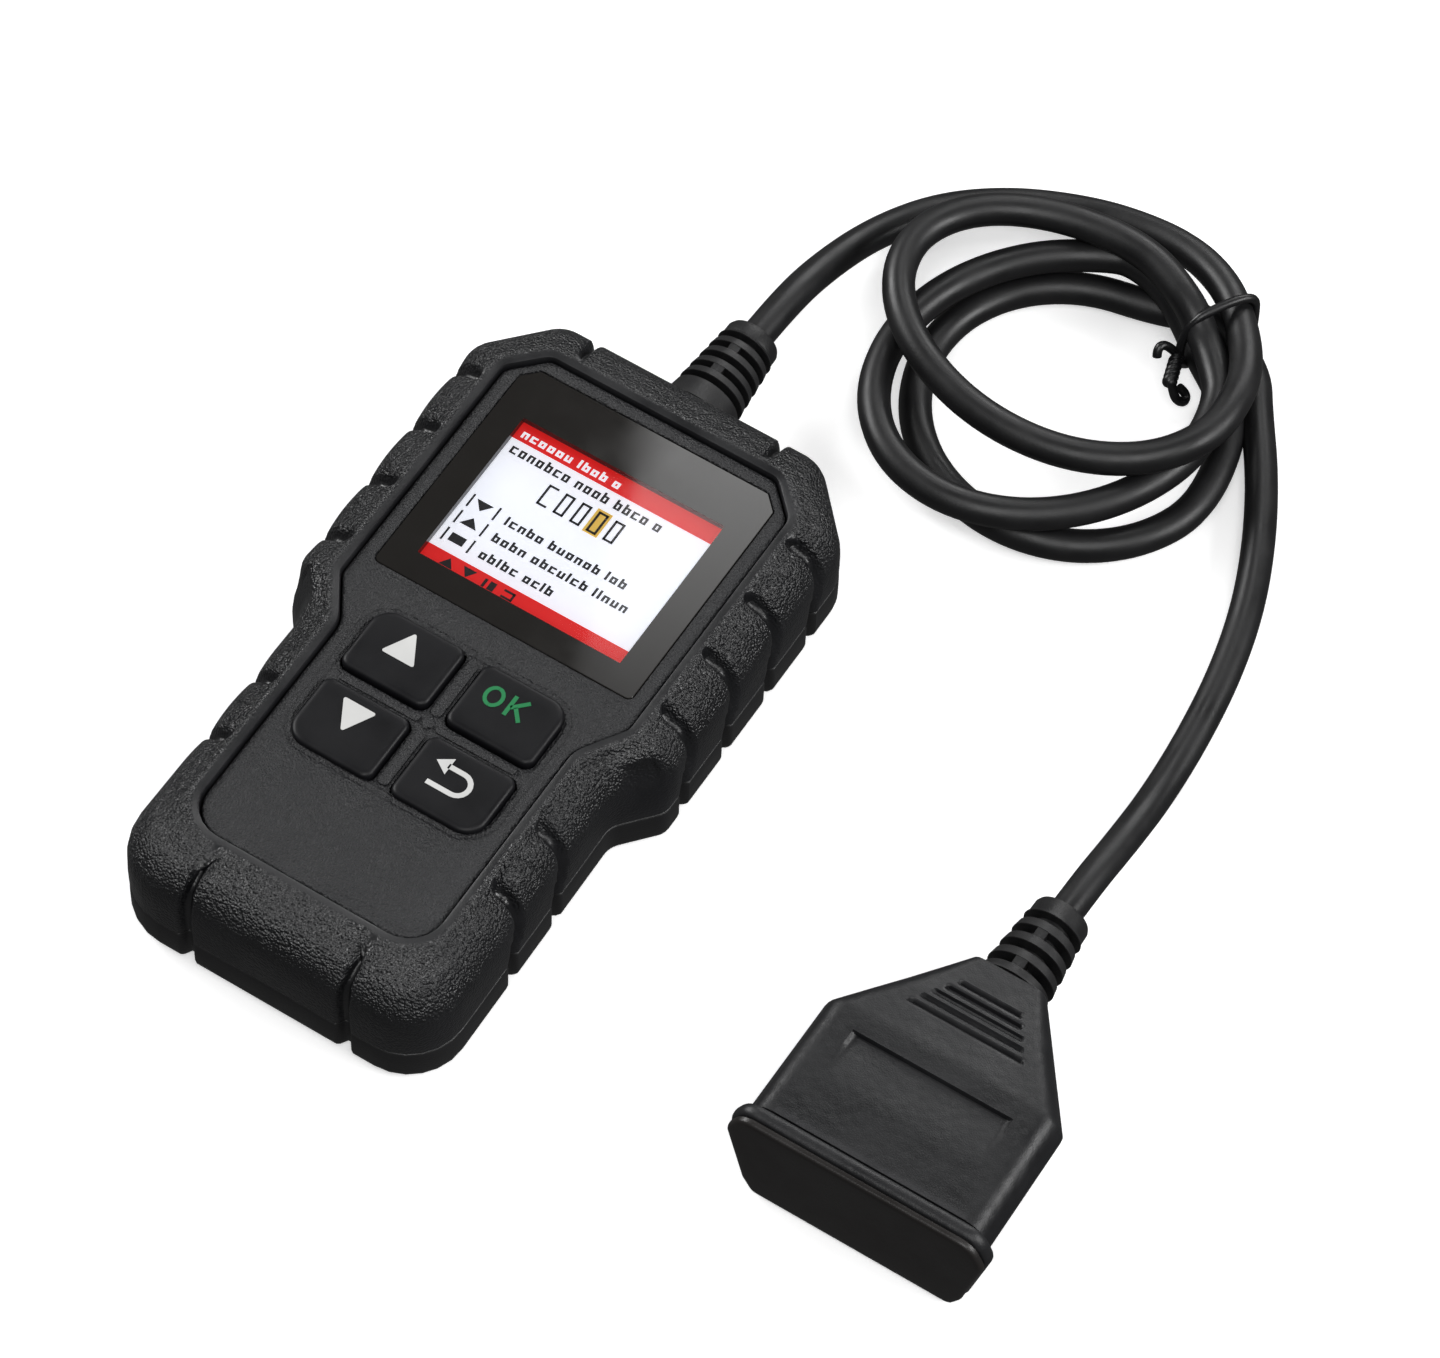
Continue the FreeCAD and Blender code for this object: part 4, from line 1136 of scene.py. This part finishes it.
def gathered(rows):
    """Points of one pass under the tie."""
    return [
        (coil_middle[0] + radius * math.cos(math.radians(bearing)),
         coil_middle[1] + radius * math.sin(math.radians(bearing)), height)
        for bearing, radius, height in rows
    ]


def turn_points(centre, axes, tilt, first, last, count, heights):
    """Points of one loose turn."""
    lean = math.radians(tilt)
    points = []
    for index in range(count):
        share = index / (count - 1)
        angle = math.radians(first + (last - first) * share)
        x, y = axes[0] * math.cos(angle), axes[1] * math.sin(angle)
        points.append((centre[0] + x * math.cos(lean) - y * math.sin(lean),
                       centre[1] + x * math.sin(lean) + y * math.cos(lean),
                       along_list(heights, share)))
    return points


def cord_route():
    """Control points of the whole cord, from the case's relief to the plug's."""
    points = list(lead_route) + gathered(PASSES[0])
    for turn, rows in zip(TURNS, PASSES[1:]):
        points += turn_points(*turn) + gathered(rows)
    return points + tail_route


def curve_piece(name, points, radius, look, cyclic=False):
    """Round curve piece along a smooth line through the given control points."""
    curve = bpy.data.curves.new(name, "CURVE")
    curve.dimensions = "3D"
    curve.bevel_depth = radius * MM
    curve.bevel_resolution = 6
    curve.use_fill_caps = not cyclic
    curve.resolution_u = 8
    spline = curve.splines.new("NURBS")
    spline.points.add(len(points) - 1)
    for control, point in zip(spline.points, points):
        control.co = (*(Vector(point) * MM), 1)
    spline.order_u = 3
    spline.use_endpoint_u = not cyclic
    spline.use_cyclic_u = cyclic
    curve.materials.append(finishes[look])
    piece = bpy.data.objects.new(name, curve)
    bpy.context.collection.objects.link(piece)
    return piece


def build_cord():
    """The whole cord as one open curve."""
    piece = curve_piece("cable", cord_route(), cord_width / 2, "cord_jacket")
    return place_piece(piece, "case", ["cord_lead", "cord_coil", "cord_tail"])


def build_tie():
    """Wire tie round the four strands, its ends twisted together inside the coil."""
    wire = 1.5
    bearing = math.radians(50)
    across = Vector((math.cos(bearing), math.sin(bearing), 0))
    along = Vector((math.sin(bearing), -math.cos(bearing), 0))
    middle = Vector((*coil_middle, 0))

    def spot(radius, height, shift=0.0):
        return middle + across * radius + along * shift + Vector((0, 0, height))

    loop = [
        spot(17.6, 4.0, 1.6), spot(18.0, 8.0, 0.8), spot(20.0, 12.0, 0.3), spot(24.0, 12.9, -0.3),
        spot(28.0, 12.9, -0.9), spot(30.9, 11.6, -1.2), spot(31.0, 7.6, -1.0),
        spot(30.8, 3.0, -0.6), spot(29.0, 0.9, -0.2), spot(24.0, 0.85, 0.3),
        spot(19.2, 0.9, 0.9), spot(17.9, 3.0, 1.5),
    ]
    twist = []
    for index in range(26):
        angle = index * math.radians(75)
        reach = 17.0 - index * 0.11
        twist.append(spot(reach + 0.7 * math.cos(angle), 5.2 + 0.7 * math.sin(angle),
                          2.0 + index * 0.17))
    curl = [spot(14.6, 5.0, 6.6), spot(14.8, 3.0, 8.0), spot(16.4, 1.6, 8.2),
            spot(17.2, 2.2, 6.9), spot(16.0, 3.6, 6.4)]
    stub = [spot(17.2, 5.4, 1.2), spot(15.8, 7.4, 0.4), spot(14.0, 7.8, 0.8),
            spot(13.8, 6.4, 1.6)]
    pieces = []
    for name, points, closed in (("tie_loop", loop, True), ("tie_twist", twist + curl, False),
                                 ("tie_end", stub, False)):
        piece = curve_piece(name, points, wire / 2, "tie_plastic", closed)
        pieces.append(place_piece(piece, "case",
                                  ["coil_tie"] if name == "tie_loop" else ()))
    return pieces


cord = build_cord()
tie = build_tie()


# ---------------- studio


def area_light(name, place, aim, size, power, fade=0.0):
    """Soft rectangular light that faces a point; fade is how far it takes to
    brighten from one edge."""
    light = bpy.data.lights.new(name, "AREA")
    light.shape = "RECTANGLE"
    light.size, light.size_y = size
    light.energy = power
    if fade:
        light.use_nodes = True
        nodes, links = light.node_tree.nodes, light.node_tree.links
        spot = nodes.new("ShaderNodeNewGeometry")
        split = nodes.new("ShaderNodeSeparateXYZ")
        ramp = nodes.new("ShaderNodeMapRange")
        ramp.inputs["From Max"].default_value = fade
        links.new(spot.outputs["Parametric"], split.inputs["Vector"])
        links.new(split.outputs["Y"], ramp.inputs["Value"])
        links.new(ramp.outputs["Result"], nodes["Emission"].inputs["Strength"])
    item = bpy.data.objects.new(name, light)
    item.location = place
    item.rotation_euler = (Vector(aim) - Vector(place)).to_track_quat("-Z", "Y").to_euler()
    bpy.context.collection.objects.link(item)
    return item


def build_studio():
    """White light table, faint even sky and soft boxes."""
    floor_material = surface("studio_floor", (0.86, 0.86, 0.86), 0.7, grain=2, depth=0.0,
                             mottle=0.01, emission=0.5)
    mesh = bpy.data.meshes.new("floor")
    size = 6.0
    mesh.from_pydata([(-size, -size, 0), (size, -size, 0), (size, size, 0), (-size, size, 0)],
                     [], [(0, 1, 2, 3)])
    mesh.materials.append(floor_material)
    floor = bpy.data.objects.new("floor", mesh)
    floor.location.z = -0.0002
    bpy.context.collection.objects.link(floor)
    floor.visible_glossy = False
    floor.visible_diffuse = False
    world = bpy.data.worlds.new("sky")
    world.use_nodes = True
    world.node_tree.nodes["Background"].inputs[0].default_value = (1, 1, 1, 1)
    world.node_tree.nodes["Background"].inputs[1].default_value = 0.10
    bpy.context.scene.world = world
    aim = (0.04, 0.03, 0.0)
    area_light("front_box", (0.5, -0.75, 1.5), aim, (1.1, 1.1), 15)
    area_light("left_box", (-1.2, 0.1, 0.75), aim, (0.9, 0.5), 13)
    area_light("right_box", (1.2, 0.35, 0.8), aim, (0.9, 0.5), 14)
    area_light("far_box", (-0.1, 1.35, 0.7), aim, (0.9, 0.4), 6)
    glare = area_light("glare_box", (-0.20, 0.72, 1.02), (-0.20, 0.72, 0.0), (0.36, 0.36), 1.9,
                       fade=0.42)
    glare.rotation_euler = (0, 0, math.radians(18.6))
    bpy.context.scene.view_settings.view_transform = "Standard"


build_studio()
